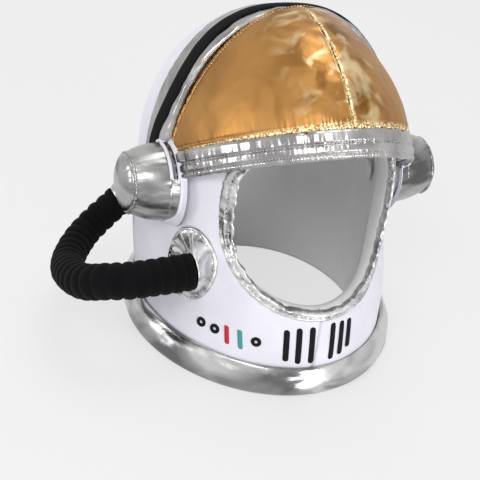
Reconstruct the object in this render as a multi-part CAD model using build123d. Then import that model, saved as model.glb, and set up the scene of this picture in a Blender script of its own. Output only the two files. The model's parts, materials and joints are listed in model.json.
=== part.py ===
from build123d import *
import math
import os

os.makedirs("parts", exist_ok=True)

# A soft dress-up helmet in millimetres. The front faces -Y and the wearer's left side is +X.
# The origin is the centre of the neck opening, on the plane that the neck ring rests on.

# Whole helmet
EAR_HEIGHT = 126.0
CROWN_RISE = 128.0
DOME_FULLNESS = 0.92
SHELL_HALF_WIDTH = 99.0
SHELL_FRONT_REACH = 108.0
SHELL_BACK_REACH = 124.0
LAYER_GAP = 0.2
CUT_OVERRUN = 60.0

# Shell wall, from the outside in
COVER_THICKNESS = 1.2
SHELL_WALL = 13.5
LINING_THICKNESS = 0.8
HEM_HEIGHT = 1.5
FOAM_COLLAR_TOP = 62.0
FOAM_SIDE_TOP = 128.0

# Plan sections of the shell: height, half width, front reach, back reach, place of widest point
LOWER_SECTION_SHARES = (
    (0.00, 0.97, 0.963, 0.820, 0.00),
    (0.16, 0.99, 1.000, 0.845, 0.04),
    (0.44, 1.00, 1.000, 0.920, 0.12),
    (0.71, 0.990, 0.972, 0.985, 0.21),
    (1.00, 0.985, 0.963, 1.000, 0.25),
)
# Roundness of each section: at the front, the cheek, the side behind it and the back
SECTION_HANDLE_SHARES = (
    (0.54, 0.54, 0.58, 0.58),
    (0.52, 0.53, 0.58, 0.58),
    (0.46, 0.53, 0.66, 0.68),
    (0.38, 0.50, 0.66, 0.68),
    (0.38, 0.50, 0.66, 0.68),
)
DOME_ANGLES = (14.0, 28.0, 42.0, 55.0, 67.0, 77.0, 84.5)

# Face opening, measured to the seam of its binding
FACE_HALF_WIDTH = 69.0
FACE_BOTTOM = 64.5
FACE_WIDEST_HEIGHT = 140.0
FACE_TOP = 204.0
FACE_LOWER_HANDLE_SHARE = 0.75
FACE_UPPER_HANDLE_SHARE = 0.62
BINDING_WIDTH = 5.8
BINDING_LIFT = 0.8

# Neck ring, as a padded roll round the shell's lower edge
RING_HEIGHT = 22.5
RING_BULGE = 9.4
RING_SKIN = 1.2
RING_PROFILE_SHARES = ((0.0, 0.80), (0.15, 1.0), (0.4, 0.94), (0.66, 0.72), (0.88, 0.45), (1.0, 0.22))

# Visor, a body of revolution about the ear axis with a rounded outline
VISOR_RADIUS = 134.0
VISOR_HALF_WIDTH = 94.0
VISOR_CROWN_HANDLE_SHARE = 0.42
VISOR_SIDE_HANDLE_SHARE = 0.6
VISOR_SKIN = 1.4
VISOR_FOAM = 2.2
VISOR_LINING = 0.6
VISOR_REAR_ANGLE = 98.0
PANEL_SEAM_OFFSET = 17.9
BRIM_ANGLE = 36.7
BRIM_ROLL_ANGLE = 35.4
BRIM_ROLL_RADIUS = 2.6
BRIM_ROLL_BORE = 1.4
BRIM_ROLL_CLEARANCE = 0.6
BRIM_CORD_RADIUS = 1.1
VISOR_TRAVEL = 45.0
VISOR_CLEARANCE = 1.2
EAR_SAG = 0.8
ANGLE_CLEARANCE = 0.5

# Crown band behind the visor, and the ribbon along its middle
BAND_WIDTH = 34.0
BAND_THICKNESS = 1.0
BAND_START = 0.6
BAND_FOOT = 12.0
RIBBON_OFFSET = 10.0
RIBBON_WIDTH = 12.0
RIBBON_THICKNESS = 0.5

# Ear joint
EAR_DISC_RADIUS = 24.0
STUD_RADIUS = 4.0
STUD_HEAD_RADIUS = 10.0
STUD_HEAD_THICKNESS = 1.5
STUD_TAIL_RADIUS = 8.0
STUD_TAIL_THICKNESS = 1.5
STUD_CLEARANCE = 0.3
RUNNING_CLEARANCE = 0.08
EYELET_RADIUS = 7.0
EYELET_FLANGE_RADIUS = 9.5
EYELET_FLANGE_THICKNESS = 0.3
STUD_HEAD_PLACE = 74.4

# Ear pod
POD_BASE_RADIUS = 28.5
POD_TOP_RADIUS = 22.0
POD_LENGTH = 25.7
POD_SKIN = 1.4
POD_PLATE_THICKNESS = 2.0
POD_DOME_HEIGHT = 7.0
POD_PIPING_RADIUS = 1.3
POD_WELT_RADIUS = 1.2
POD_STANDOFF = 2.0

# Hose bosses: the middle of each foot on the shell, the way it faces, and sizes
FRONT_FOOT = (-80.0, -41.6, 79.4)
FRONT_FACING = (-0.94, -0.31, -0.16)
FRONT_RIM_RADIUS = 27.4
REAR_FOOT = (-86.0, 58.0, 84.0)
REAR_FACING = (-0.93, 0.36, -0.05)
REAR_RIM_RADIUS = 21.5
BOSS_PAD_THICKNESS = 1.6
BOSS_CONE_INSET = 2.5
BOSS_LIP = 1.5
BOSS_WIDTH_SHARE = 0.84
BOSS_TILT = 14.0

# Hose, with the route of its centre line from the cheek to behind the ear
HOSE_RADIUS = 14.0
HOSE_END_RADIUS = 12.2
HOSE_RIB_DEPTH = 1.2
HOSE_BORE_RADIUS = 9.8
HOSE_RIBS = 26
HOSE_ROUTE = [
    (-84.8, -55.6, 81.2),
    (-107.4, -57.1, 80.4),
    (-131.9, -58.7, 80.0),
    (-148.7, -50.8, 76.0),
    (-158.1, -35.8, 65.4),
    (-161.0, -7.9, 54.1),
    (-155.5, 22.6, 43.4),
    (-140.3, 49.5, 45.0),
    (-121.0, 62.0, 57.0),
    (-103.5, 60.7, 75.2),
]
HOSE_BEND_SHARE = 0.45
RIB_PLACE_SHARES = ((0.05, 0.0), (0.3, 1.0), (0.65, 1.0), (0.9, 0.0))

# Embroidered marks: turn about the vertical line below, height of the middle, length; the bars
# lean towards the wearer's right
MARK_CENTRE_REACH = 20.0
MARK_THICKNESS = 0.6
MARK_LIFT = 0.15
BAR_WIDTH = 4.7
BAR_LEAN = 6.0
FRONT_BARS = (
    (15.4, 41.8, 27.5),
    (9.3, 42.0, 32.0),
    (2.8, 42.6, 33.0),
    (-8.1, 43.6, 34.0),
    (-13.5, 44.4, 31.5),
    (-18.5, 46.2, 26.5),
)
COLOUR_BAR_WIDTH = 3.8
COLOUR_BAR_LEAN = 12.0
RED_BAR = (45.2, 39.3, 14.7)
TEAL_BAR = (38.1, 39.1, 15.5)
RING_MARKS = ((59.9, 40.5), (52.0, 40.2), (30.1, 40.9))
RING_MARK_RADIUS = 3.7
RING_MARK_HOLE = 1.5

# Sizes that follow from the ones above
VISOR_THICKNESS = VISOR_SKIN + VISOR_FOAM + VISOR_LINING + 2 * LAYER_GAP
RECESS_DEPTH = VISOR_THICKNESS + VISOR_CLEARANCE
DISC_WELL_FLOOR = VISOR_HALF_WIDTH - RECESS_DEPTH - EAR_SAG
VISOR_REACH = VISOR_RADIUS + CUT_OVERRUN
POD_BASE_X = VISOR_HALF_WIDTH + EYELET_FLANGE_THICKNESS + 3 * LAYER_GAP + POD_STANDOFF
POD_TAPER = (POD_BASE_RADIUS - POD_TOP_RADIUS) / POD_LENGTH
PLATE_RADIUS = POD_BASE_RADIUS - POD_SKIN - LAYER_GAP - POD_TAPER * POD_PLATE_THICKNESS
POD_WELL_FLOOR = POD_BASE_X - 2 * LAYER_GAP
POD_WELL_RADIUS = POD_BASE_RADIUS + 2 * POD_WELT_RADIUS + VISOR_CLEARANCE
FOAM_OUTER = COVER_THICKNESS + LAYER_GAP
FOAM_INNER = SHELL_WALL - LINING_THICKNESS - LAYER_GAP


def shell_section(height, half_width, front, back, widest, handles, grow):
    """One plan section of the shell, grown outwards by a distance, as a face."""
    at_front, at_cheek, at_side, at_back = handles
    side = half_width + grow
    nose = -(front + grow)
    nape = back + grow
    front_points = [
        (0, nose),
        (at_front * side, nose),
        (side, widest - at_cheek * (widest - nose)),
        (side, widest),
    ]
    back_points = [
        (side, widest),
        (side, widest + at_side * (nape - widest)),
        (at_back * side, nape),
        (0, nape),
    ]
    curves = [front_points, back_points]
    curves += [[(-x, y) for x, y in reversed(points)] for points in (back_points, front_points)]
    edges = [Bezier(*[(x, y, height) for x, y in points]) for points in curves]
    return make_face(edges)


def lower_rows():
    """Real sizes of the sections at or below the ears, each with its roundness."""
    rows = []
    for shares, handles in zip(LOWER_SECTION_SHARES, SECTION_HANDLE_SHARES):
        height, width, front, back, widest = shares
        sizes = (
            height * EAR_HEIGHT,
            width * SHELL_HALF_WIDTH,
            front * SHELL_FRONT_REACH,
            back * SHELL_BACK_REACH,
            widest * SHELL_BACK_REACH,
        )
        rows.append((sizes, handles))
    return rows


def shell_solid(grow):
    """The whole shell as one solid without its hollow, grown outwards by a distance."""
    rows = lower_rows()
    sections = [shell_section(*sizes, handles, grow) for sizes, handles in rows]
    base, handles = rows[-1]
    rise = CROWN_RISE + grow
    for angle in DOME_ANGLES:
        share = math.cos(math.radians(angle)) ** DOME_FULLNESS
        height = EAR_HEIGHT + rise * math.sin(math.radians(angle))
        half_width = (base[1] + grow) * share
        front = (base[2] + grow) * share
        back = (base[3] + grow) * share
        sections.append(shell_section(height, half_width, front, back, base[4] * share, handles, 0))
    sections.append(Vertex(0, 0, EAR_HEIGHT + rise))
    return loft(sections)


def visor_outline(inset):
    """Edges of the visor's upper outline seen from the front, thinner by an inset."""
    side = VISOR_HALF_WIDTH - inset
    crown = VISOR_RADIUS - inset
    left = [
        (side, 0, 0),
        (side, 0, VISOR_SIDE_HANDLE_SHARE * crown),
        (VISOR_CROWN_HANDLE_SHARE * side, 0, crown),
        (0, 0, crown),
    ]
    right = [(-x, y, z) for x, y, z in reversed(left)]
    return [Bezier(*left), Bezier(*right)]


def turned_body(inset, start_angle, end_angle):
    """A visor-shaped body, thinner by an inset, between two angles up from straight ahead."""
    edges = visor_outline(inset)
    chord = Line(edges[1] @ 1, edges[0] @ 0)
    face = Rot(90 - start_angle, 0, 0) * make_face([*edges, chord])
    body = revolve(face, Axis((0, 0, 0), (-1, 0, 0)), end_angle - start_angle)
    return Pos(0, 0, EAR_HEIGHT) * body


def ear_cylinder(radius, low, high, side):
    """A round bar on the ear axis from one distance to another, on the right (-1) or left (+1)."""
    middle = side * (low + high) / 2
    bar = Rot(0, 90, 0) * Cylinder(radius, high - low)
    return Pos(middle, 0, EAR_HEIGHT) * bar


def both_ears(radius, low, high):
    """The same bar on both sides."""
    return ear_cylinder(radius, low, high, -1) + ear_cylinder(radius, low, high, 1)


def visor_layer(outer_inset, inner_inset, start_angle, end_angle):
    """One layer of the visor outside its ear discs."""
    layer = turned_body(outer_inset, start_angle, end_angle)
    layer = layer - turned_body(inner_inset, start_angle, end_angle)
    return layer - ear_cylinder(EAR_DISC_RADIUS, -VISOR_REACH, VISOR_REACH, 1)


def swept_space(grow):
    """The space that the visor passes through, grown by a distance, which the shell leaves free."""
    low_angle = BRIM_ROLL_ANGLE - VISOR_TRAVEL - 2 * BRIM_ROLL_RADIUS
    high_angle = VISOR_REAR_ANGLE + ANGLE_CLEARANCE
    outer = turned_body(-CUT_OVERRUN, low_angle, high_angle)
    inner = turned_body(RECESS_DEPTH + grow, low_angle, high_angle)
    disc_well = both_ears(EAR_DISC_RADIUS + VISOR_CLEARANCE + grow, DISC_WELL_FLOOR - grow, VISOR_REACH)
    pod_well = both_ears(POD_WELL_RADIUS + grow, POD_WELL_FLOOR - grow, VISOR_REACH)
    return outer - inner + disc_well + pod_well


def half_space(side):
    """A large box on one side of the middle plane, short of it by half a gap."""
    width = 2 * VISOR_REACH
    return Pos(side * (width + LAYER_GAP) / 2, 0, 0) * Box(width, 2 * width, 2 * width)


def level(low, high):
    """A large slab between two heights."""
    width = 2 * VISOR_REACH
    return Pos(0, 0, (low + high) / 2) * Box(width, width, high - low)


def face_prism(inset):
    """The face opening as a bar along Y, made smaller all round by an inset."""
    half_width = FACE_HALF_WIDTH - inset
    bottom = FACE_BOTTOM + inset
    top = FACE_TOP - inset
    middle = FACE_WIDEST_HEIGHT
    lower = [
        (0, bottom),
        (FACE_LOWER_HANDLE_SHARE * half_width, bottom),
        (half_width, middle - FACE_LOWER_HANDLE_SHARE * (middle - bottom)),
        (half_width, middle),
    ]
    upper = [
        (half_width, middle),
        (half_width, middle + FACE_UPPER_HANDLE_SHARE * (top - middle)),
        (FACE_UPPER_HANDLE_SHARE * half_width, top),
        (0, top),
    ]
    curves = [lower, upper]
    curves += [[(-x, z) for x, z in reversed(points)] for points in (upper, lower)]
    outline = make_face([Bezier(*points) for points in curves])
    return extrude(Plane.XZ * outline, SHELL_FRONT_REACH + CUT_OVERRUN)


def ring_solid(inset, rows):
    """The neck ring's outer shape as a solid without its hollow, made thinner by an inset."""
    sections = []
    for height_share, bulge_share in rows:
        height = inset + height_share * (RING_HEIGHT - 2 * inset)
        sizes, handles = section_at(height)
        sections.append(shell_section(*sizes, handles, bulge_share * RING_BULGE - inset))
    return loft(sections)


def section_at(height):
    """Sizes and roundness of the shell between the two rows of its table that hold a height."""
    rows = lower_rows()
    for low, high in zip(rows, rows[1:]):
        if height <= high[0][0]:
            share = (height - low[0][0]) / (high[0][0] - low[0][0])
            return [tuple(a + share * (b - a) for a, b in zip(*pair)) for pair in zip(low, high)]
    return rows[-1]


def band_box(start, width):
    """A box that holds the strip of shell behind the visor's rear edge."""
    length = VISOR_REACH
    box = Box(2 * VISOR_REACH, width, length)
    box = Pos(0, start + width / 2, BAND_FOOT + length / 2) * box
    return Pos(0, 0, EAR_HEIGHT) * Rot(90 - VISOR_REAR_ANGLE, 0, 0) * box


def hose_path():
    """The hose's centre line: straight runs joined by arcs as large as the runs allow."""
    points = [Vector(*point) for point in HOSE_ROUTE]
    radii = []
    for before, corner, after in zip(points, points[1:], points[2:]):
        run_in = corner - before
        run_out = after - corner
        half_turn = math.radians(run_in.get_angle(run_out)) / 2
        shorter = min(run_in.length, run_out.length)
        radii.append(HOSE_BEND_SHARE * shorter / math.tan(half_turn))
    print("hose bend radii", [round(radius, 1) for radius in radii])
    return FilletPolyline(*points, radius=radii)


def hose_circle(path, share, radius):
    """A circle across the hose at a share of its length."""
    tangent = path % share
    return Plane(path @ share, x_dir=STEADY_AXIS.cross(tangent), z_dir=tangent) * Circle(radius)


def ribbed_hose(path):
    """The hose with its ribs and its bore."""
    places = [(0, 0)]
    for rib in range(HOSE_RIBS):
        for place_share, height_share in RIB_PLACE_SHARES:
            places.append(((rib + place_share) / HOSE_RIBS, height_share))
    places.append((1, 0))
    sections = []
    for share, height_share in places:
        crest = HOSE_RADIUS + share * (HOSE_END_RADIUS - HOSE_RADIUS)
        sections.append(hose_circle(path, share, crest - (1 - height_share) * HOSE_RIB_DEPTH))
    return loft(sections, ruled=True) - round_sweep(path, HOSE_BORE_RADIUS)


def round_sweep(path, radius):
    """A round bar along the hose's centre line."""
    return sweep(hose_circle(path, 0, radius), path=path)


def hose_boss(seat, outward, seat_radius, foot, facing, rim_radius):
    """A padded cone on the shell, whose flat top carries the hose's end."""
    base = Plane(foot, x_dir=STEADY_AXIS.cross(Vector(*facing)), z_dir=facing)
    base = base.rotated((0, 0, BOSS_TILT))
    top = Plane(seat, x_dir=STEADY_AXIS.cross(outward), z_dir=outward)
    cone_radius = rim_radius - BOSS_CONE_INSET
    cone_foot = Ellipse(cone_radius * BOSS_WIDTH_SHARE, cone_radius)
    cone = loft([base * cone_foot, top * Circle(seat_radius + BOSS_LIP)])
    rim = extrude(base * Ellipse(rim_radius * BOSS_WIDTH_SHARE, rim_radius), rim_radius / 2, both=True)
    pad = shell_solid(BOSS_PAD_THICKNESS) & rim
    return pad + cone - SHELL_CLEAR - face_prism(-LAYER_GAP)


def mark_place(angle, height):
    """A place on the front for an embroidered mark, facing outwards."""
    return Pos(0, -MARK_CENTRE_REACH, height) * Rot(0, 0, -angle)


def bar_tool(angle, height, length, width, lean):
    """A box that cuts one embroidered bar out of the thin layer of marks."""
    depth = SHELL_FRONT_REACH
    box = Pos(0, -depth / 2, 0) * Box(width, depth, length)
    return mark_place(angle, height) * Rot(0, -lean, 0) * box


def ring_tool(angle, height):
    """A tube that cuts one embroidered ring out of the thin layer of marks."""
    depth = SHELL_FRONT_REACH
    bar = Cylinder(RING_MARK_RADIUS, depth) - Cylinder(RING_MARK_HOLE, depth)
    return mark_place(angle, height) * Pos(0, -depth / 2, 0) * Rot(90, 0, 0) * bar


def save(name, shape):
    """Write one named part."""
    export_step(shape, "parts/" + name + ".step")


STEADY_AXIS = Vector(0, 0, 1)
SHELL_CLEAR = shell_solid(LAYER_GAP)
MARK_LAYER = shell_solid(MARK_LIFT + MARK_THICKNESS) - shell_solid(MARK_LIFT)
SIDES = {"right": -1, "left": 1}

# Shell wall
hem = Pos(0, 0, HEM_HEIGHT - CUT_OVERRUN / 2) * Box(2 * VISOR_REACH, 2 * VISOR_REACH, CUT_OVERRUN)
stud_holes = ear_cylinder(STUD_RADIUS + STUD_CLEARANCE, -VISOR_REACH, VISOR_REACH, 1)
opening = face_prism(-LAYER_GAP)
foam_block = shell_solid(-FOAM_OUTER) - swept_space(FOAM_OUTER)
cover = shell_solid(0) - swept_space(0) - (shell_solid(-COVER_THICKNESS) - swept_space(COVER_THICKNESS))
cover = cover - hem - stud_holes - opening
foam = foam_block - shell_solid(-FOAM_INNER) - hem - stud_holes - opening
lining = shell_solid(LINING_THICKNESS - SHELL_WALL) - shell_solid(-SHELL_WALL)
lining = lining - hem - stud_holes - opening
for side_name, side in SIDES.items():
    save("cover_" + side_name, cover & half_space(side))
    half_foam = foam & half_space(side)
    save("foam_collar_" + side_name, half_foam & level(0, FOAM_COLLAR_TOP))
    save("foam_side_" + side_name, half_foam & level(FOAM_COLLAR_TOP + LAYER_GAP, FOAM_SIDE_TOP))
    save("foam_crown_" + side_name, half_foam & level(FOAM_SIDE_TOP + LAYER_GAP, VISOR_REACH + EAR_HEIGHT))
save("shell_lining", lining)

# Face binding, a padded silver edge that closes the wall round the opening
rim = shell_solid(BINDING_LIFT) - shell_solid(-SHELL_WALL - BINDING_LIFT)
save("face_binding", rim & (face_prism(0) - face_prism(BINDING_WIDTH)))

# Neck ring, whose filling stops short of the ring's thin upper edge
ring_outside = ring_solid(0, RING_PROFILE_SHARES) - SHELL_CLEAR
filled_rows = RING_PROFILE_SHARES[:-1]
core_space = ring_solid(RING_SKIN, filled_rows) - shell_solid(LAYER_GAP + RING_SKIN)
save("neck_ring_cover", ring_outside - core_space)
ring_core = ring_solid(RING_SKIN + LAYER_GAP, filled_rows)
save("neck_ring_core", ring_core - shell_solid(2 * LAYER_GAP + RING_SKIN))

# Crown band and ribbon
band = (shell_solid(LAYER_GAP + BAND_THICKNESS) - SHELL_CLEAR) & band_box(BAND_START, BAND_WIDTH)
save("crown_band", band - swept_space(0))
ribbon_base = 2 * LAYER_GAP + BAND_THICKNESS
ribbon = shell_solid(ribbon_base + RIBBON_THICKNESS) - shell_solid(ribbon_base)
ribbon = ribbon & band_box(BAND_START + RIBBON_OFFSET, RIBBON_WIDTH)
save("crown_ribbon", ribbon - swept_space(0))

# Embroidered marks
bars = [MARK_LAYER & bar_tool(*bar, BAR_WIDTH, BAR_LEAN) for bar in FRONT_BARS]
save("front_bars", Compound(children=bars))
save("red_bar", MARK_LAYER & bar_tool(*RED_BAR, COLOUR_BAR_WIDTH, COLOUR_BAR_LEAN))
save("teal_bar", MARK_LAYER & bar_tool(*TEAL_BAR, COLOUR_BAR_WIDTH, COLOUR_BAR_LEAN))
rings = [MARK_LAYER & ring_tool(*ring) for ring in RING_MARKS]
save("indicator_rings", Compound(children=rings))

# Rolled brim edge with its filler cord
roll_inset = VISOR_THICKNESS / 2
left_edge, right_edge = visor_outline(roll_inset)
roll_trim_share = (EAR_DISC_RADIUS + BRIM_ROLL_CLEARANCE) / left_edge.length
roll_line = Wire([left_edge.trim(roll_trim_share, 1), right_edge.trim(0, 1 - roll_trim_share)])
roll_path = Pos(0, 0, EAR_HEIGHT) * Rot(90 - BRIM_ROLL_ANGLE, 0, 0) * roll_line
roll_start = Plane(roll_path @ 0, z_dir=roll_path % 0)
roll_space = sweep(roll_start * Circle(BRIM_ROLL_RADIUS + LAYER_GAP), path=roll_path)
roll_bar = sweep(roll_start * Circle(BRIM_ROLL_RADIUS), path=roll_path)
save("brim_roll", roll_bar - sweep(roll_start * Circle(BRIM_ROLL_BORE), path=roll_path))
save("brim_cord", sweep(roll_start * Circle(BRIM_CORD_RADIUS), path=roll_path))

# Visor layers; the coloured panel meets the brim band in a plane parallel to the rolled edge
foam_inset = VISOR_SKIN + LAYER_GAP
lining_inset = foam_inset + VISOR_FOAM + LAYER_GAP
brim_turn = math.radians(BRIM_ROLL_ANGLE)
seam_way = Vector(0, math.sin(brim_turn), math.cos(brim_turn))
seam_plane = Plane(Vector(0, 0, EAR_HEIGHT) + seam_way * PANEL_SEAM_OFFSET, z_dir=seam_way)
skin = visor_layer(0, VISOR_SKIN, BRIM_ANGLE, VISOR_REAR_ANGLE)
below_seam = seam_plane * Pos(0, 0, -VISOR_REACH / 2) * Box(2 * VISOR_REACH, 2 * VISOR_REACH, VISOR_REACH)
panel = skin - seam_plane * Pos(0, 0, LAYER_GAP - VISOR_REACH / 2) * Box(
    2 * VISOR_REACH, 2 * VISOR_REACH, VISOR_REACH
)
for side_name, side in SIDES.items():
    save("visor_panel_" + side_name, panel & half_space(side))
save("brim_band", (skin & below_seam) - roll_space)
visor_foam = visor_layer(foam_inset, foam_inset + VISOR_FOAM, BRIM_ANGLE, VISOR_REAR_ANGLE)
save("visor_foam", visor_foam - roll_space)
visor_lining = visor_layer(lining_inset, lining_inset + VISOR_LINING, BRIM_ANGLE, VISOR_REAR_ANGLE)
save("visor_lining", visor_lining - roll_space)

# Ear discs, eyelets, studs and pods on both sides
ear_ring = turned_body(0, 0, 360) - turned_body(VISOR_THICKNESS, 0, 360)
bore_radius = STUD_RADIUS + RUNNING_CLEARANCE
inner_face = VISOR_HALF_WIDTH - VISOR_THICKNESS
for side_name, side in SIDES.items():
    disc = ear_ring & ear_cylinder(EAR_DISC_RADIUS - LAYER_GAP, 0, VISOR_REACH, side)
    disc = disc - ear_cylinder(EYELET_RADIUS + LAYER_GAP, 0, VISOR_REACH, side)
    save("visor_ear_" + side_name, disc)

    flange_in = inner_face - 2 * LAYER_GAP - EYELET_FLANGE_THICKNESS
    flange_out = VISOR_HALF_WIDTH + LAYER_GAP / 2
    eyelet = ear_cylinder(EYELET_RADIUS, flange_in, flange_out + EYELET_FLANGE_THICKNESS, side)
    for start in (flange_in, flange_out):
        eyelet += ear_cylinder(EYELET_FLANGE_RADIUS, start, start + EYELET_FLANGE_THICKNESS, side)
    save("visor_eyelet_" + side_name, eyelet - ear_cylinder(bore_radius, 0, VISOR_REACH, side))

    plate_out = POD_BASE_X + POD_PLATE_THICKNESS
    head_in = STUD_HEAD_PLACE - STUD_HEAD_THICKNESS
    stud = ear_cylinder(STUD_RADIUS, head_in, plate_out + LAYER_GAP, side)
    stud += ear_cylinder(STUD_HEAD_RADIUS, head_in, STUD_HEAD_PLACE, side)
    tail = plate_out + LAYER_GAP
    stud += ear_cylinder(STUD_TAIL_RADIUS, tail, tail + STUD_TAIL_THICKNESS, side)
    save("pivot_stud_" + side_name, stud)

    plate = ear_cylinder(PLATE_RADIUS, POD_BASE_X, plate_out, side)
    save("pod_plate_" + side_name, plate - ear_cylinder(bore_radius, 0, VISOR_REACH, side))

    pod_turn = Pos(side * POD_BASE_X, 0, EAR_HEIGHT) * Rot(0, side * 90, 0)
    lift = Pos(0, 0, POD_LENGTH / 2)
    wall = lift * Cone(POD_BASE_RADIUS, POD_TOP_RADIUS, POD_LENGTH)
    wall -= lift * Cone(POD_BASE_RADIUS - POD_SKIN, POD_TOP_RADIUS - POD_SKIN, POD_LENGTH)
    save("pod_wall_" + side_name, pod_turn * wall)

    core_skin = POD_SKIN + LAYER_GAP
    core_bar = lift * Cone(POD_BASE_RADIUS - core_skin, POD_TOP_RADIUS - core_skin, POD_LENGTH)
    pocket_depth = POD_PLATE_THICKNESS + LAYER_GAP
    core_bar -= Pos(0, 0, pocket_depth / 2) * Cylinder(POD_BASE_RADIUS, pocket_depth)
    tail_depth = pocket_depth + STUD_TAIL_THICKNESS + LAYER_GAP
    core_bar -= Pos(0, 0, tail_depth / 2) * Cylinder(STUD_TAIL_RADIUS + LAYER_GAP, tail_depth)
    save("pod_core_" + side_name, pod_turn * core_bar)

    dome_radius = (POD_TOP_RADIUS**2 + POD_DOME_HEIGHT**2) / (2 * POD_DOME_HEIGHT)
    dome_top = POD_LENGTH + LAYER_GAP + POD_DOME_HEIGHT
    ball = Pos(0, 0, dome_top - dome_radius) * Sphere(dome_radius)
    slab = Pos(0, 0, POD_LENGTH + LAYER_GAP + POD_DOME_HEIGHT / 2)
    dome = ball & (slab * Cylinder(POD_TOP_RADIUS, POD_DOME_HEIGHT))
    save("pod_cap_" + side_name, pod_turn * dome)

    piping = Torus(POD_TOP_RADIUS + POD_PIPING_RADIUS + LAYER_GAP, POD_PIPING_RADIUS)
    save("pod_piping_" + side_name, pod_turn * Pos(0, 0, POD_LENGTH) * piping)
    welt = Torus(POD_BASE_RADIUS + POD_WELT_RADIUS + LAYER_GAP, POD_WELT_RADIUS)
    save("pod_welt_" + side_name, pod_turn * Pos(0, 0, POD_WELT_RADIUS) * welt)

# Hose and the two bosses that it is sewn to
hose_line = hose_path()
hose_cover = ribbed_hose(hose_line)
hose_core = round_sweep(hose_line, HOSE_BORE_RADIUS - LAYER_GAP)
core_volume = math.pi * (HOSE_BORE_RADIUS - LAYER_GAP) ** 2 * hose_line.length
print("hose length", round(hose_line.length, 1))
print("hose core volume over section times length", round(hose_core.volume / core_volume, 4))
save("hose_cover", hose_cover)
save("hose_core", hose_core)
front_seat = (hose_line @ 0, hose_line % 0, HOSE_RADIUS)
save("hose_boss_front", hose_boss(*front_seat, FRONT_FOOT, FRONT_FACING, FRONT_RIM_RADIUS))
rear_seat = (hose_line @ 1, -(hose_line % 1), HOSE_END_RADIUS)
save("hose_boss_rear", hose_boss(*rear_seat, REAR_FOOT, REAR_FACING, REAR_RIM_RADIUS))
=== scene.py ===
"""A soft astronaut dress-up helmet: cloth pieces, materials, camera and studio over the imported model."""
import json
import logging
import math
from dataclasses import dataclass, field, replace
from enum import Enum
from functools import cached_property
from typing import Callable, ClassVar, NamedTuple, Sequence

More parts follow.
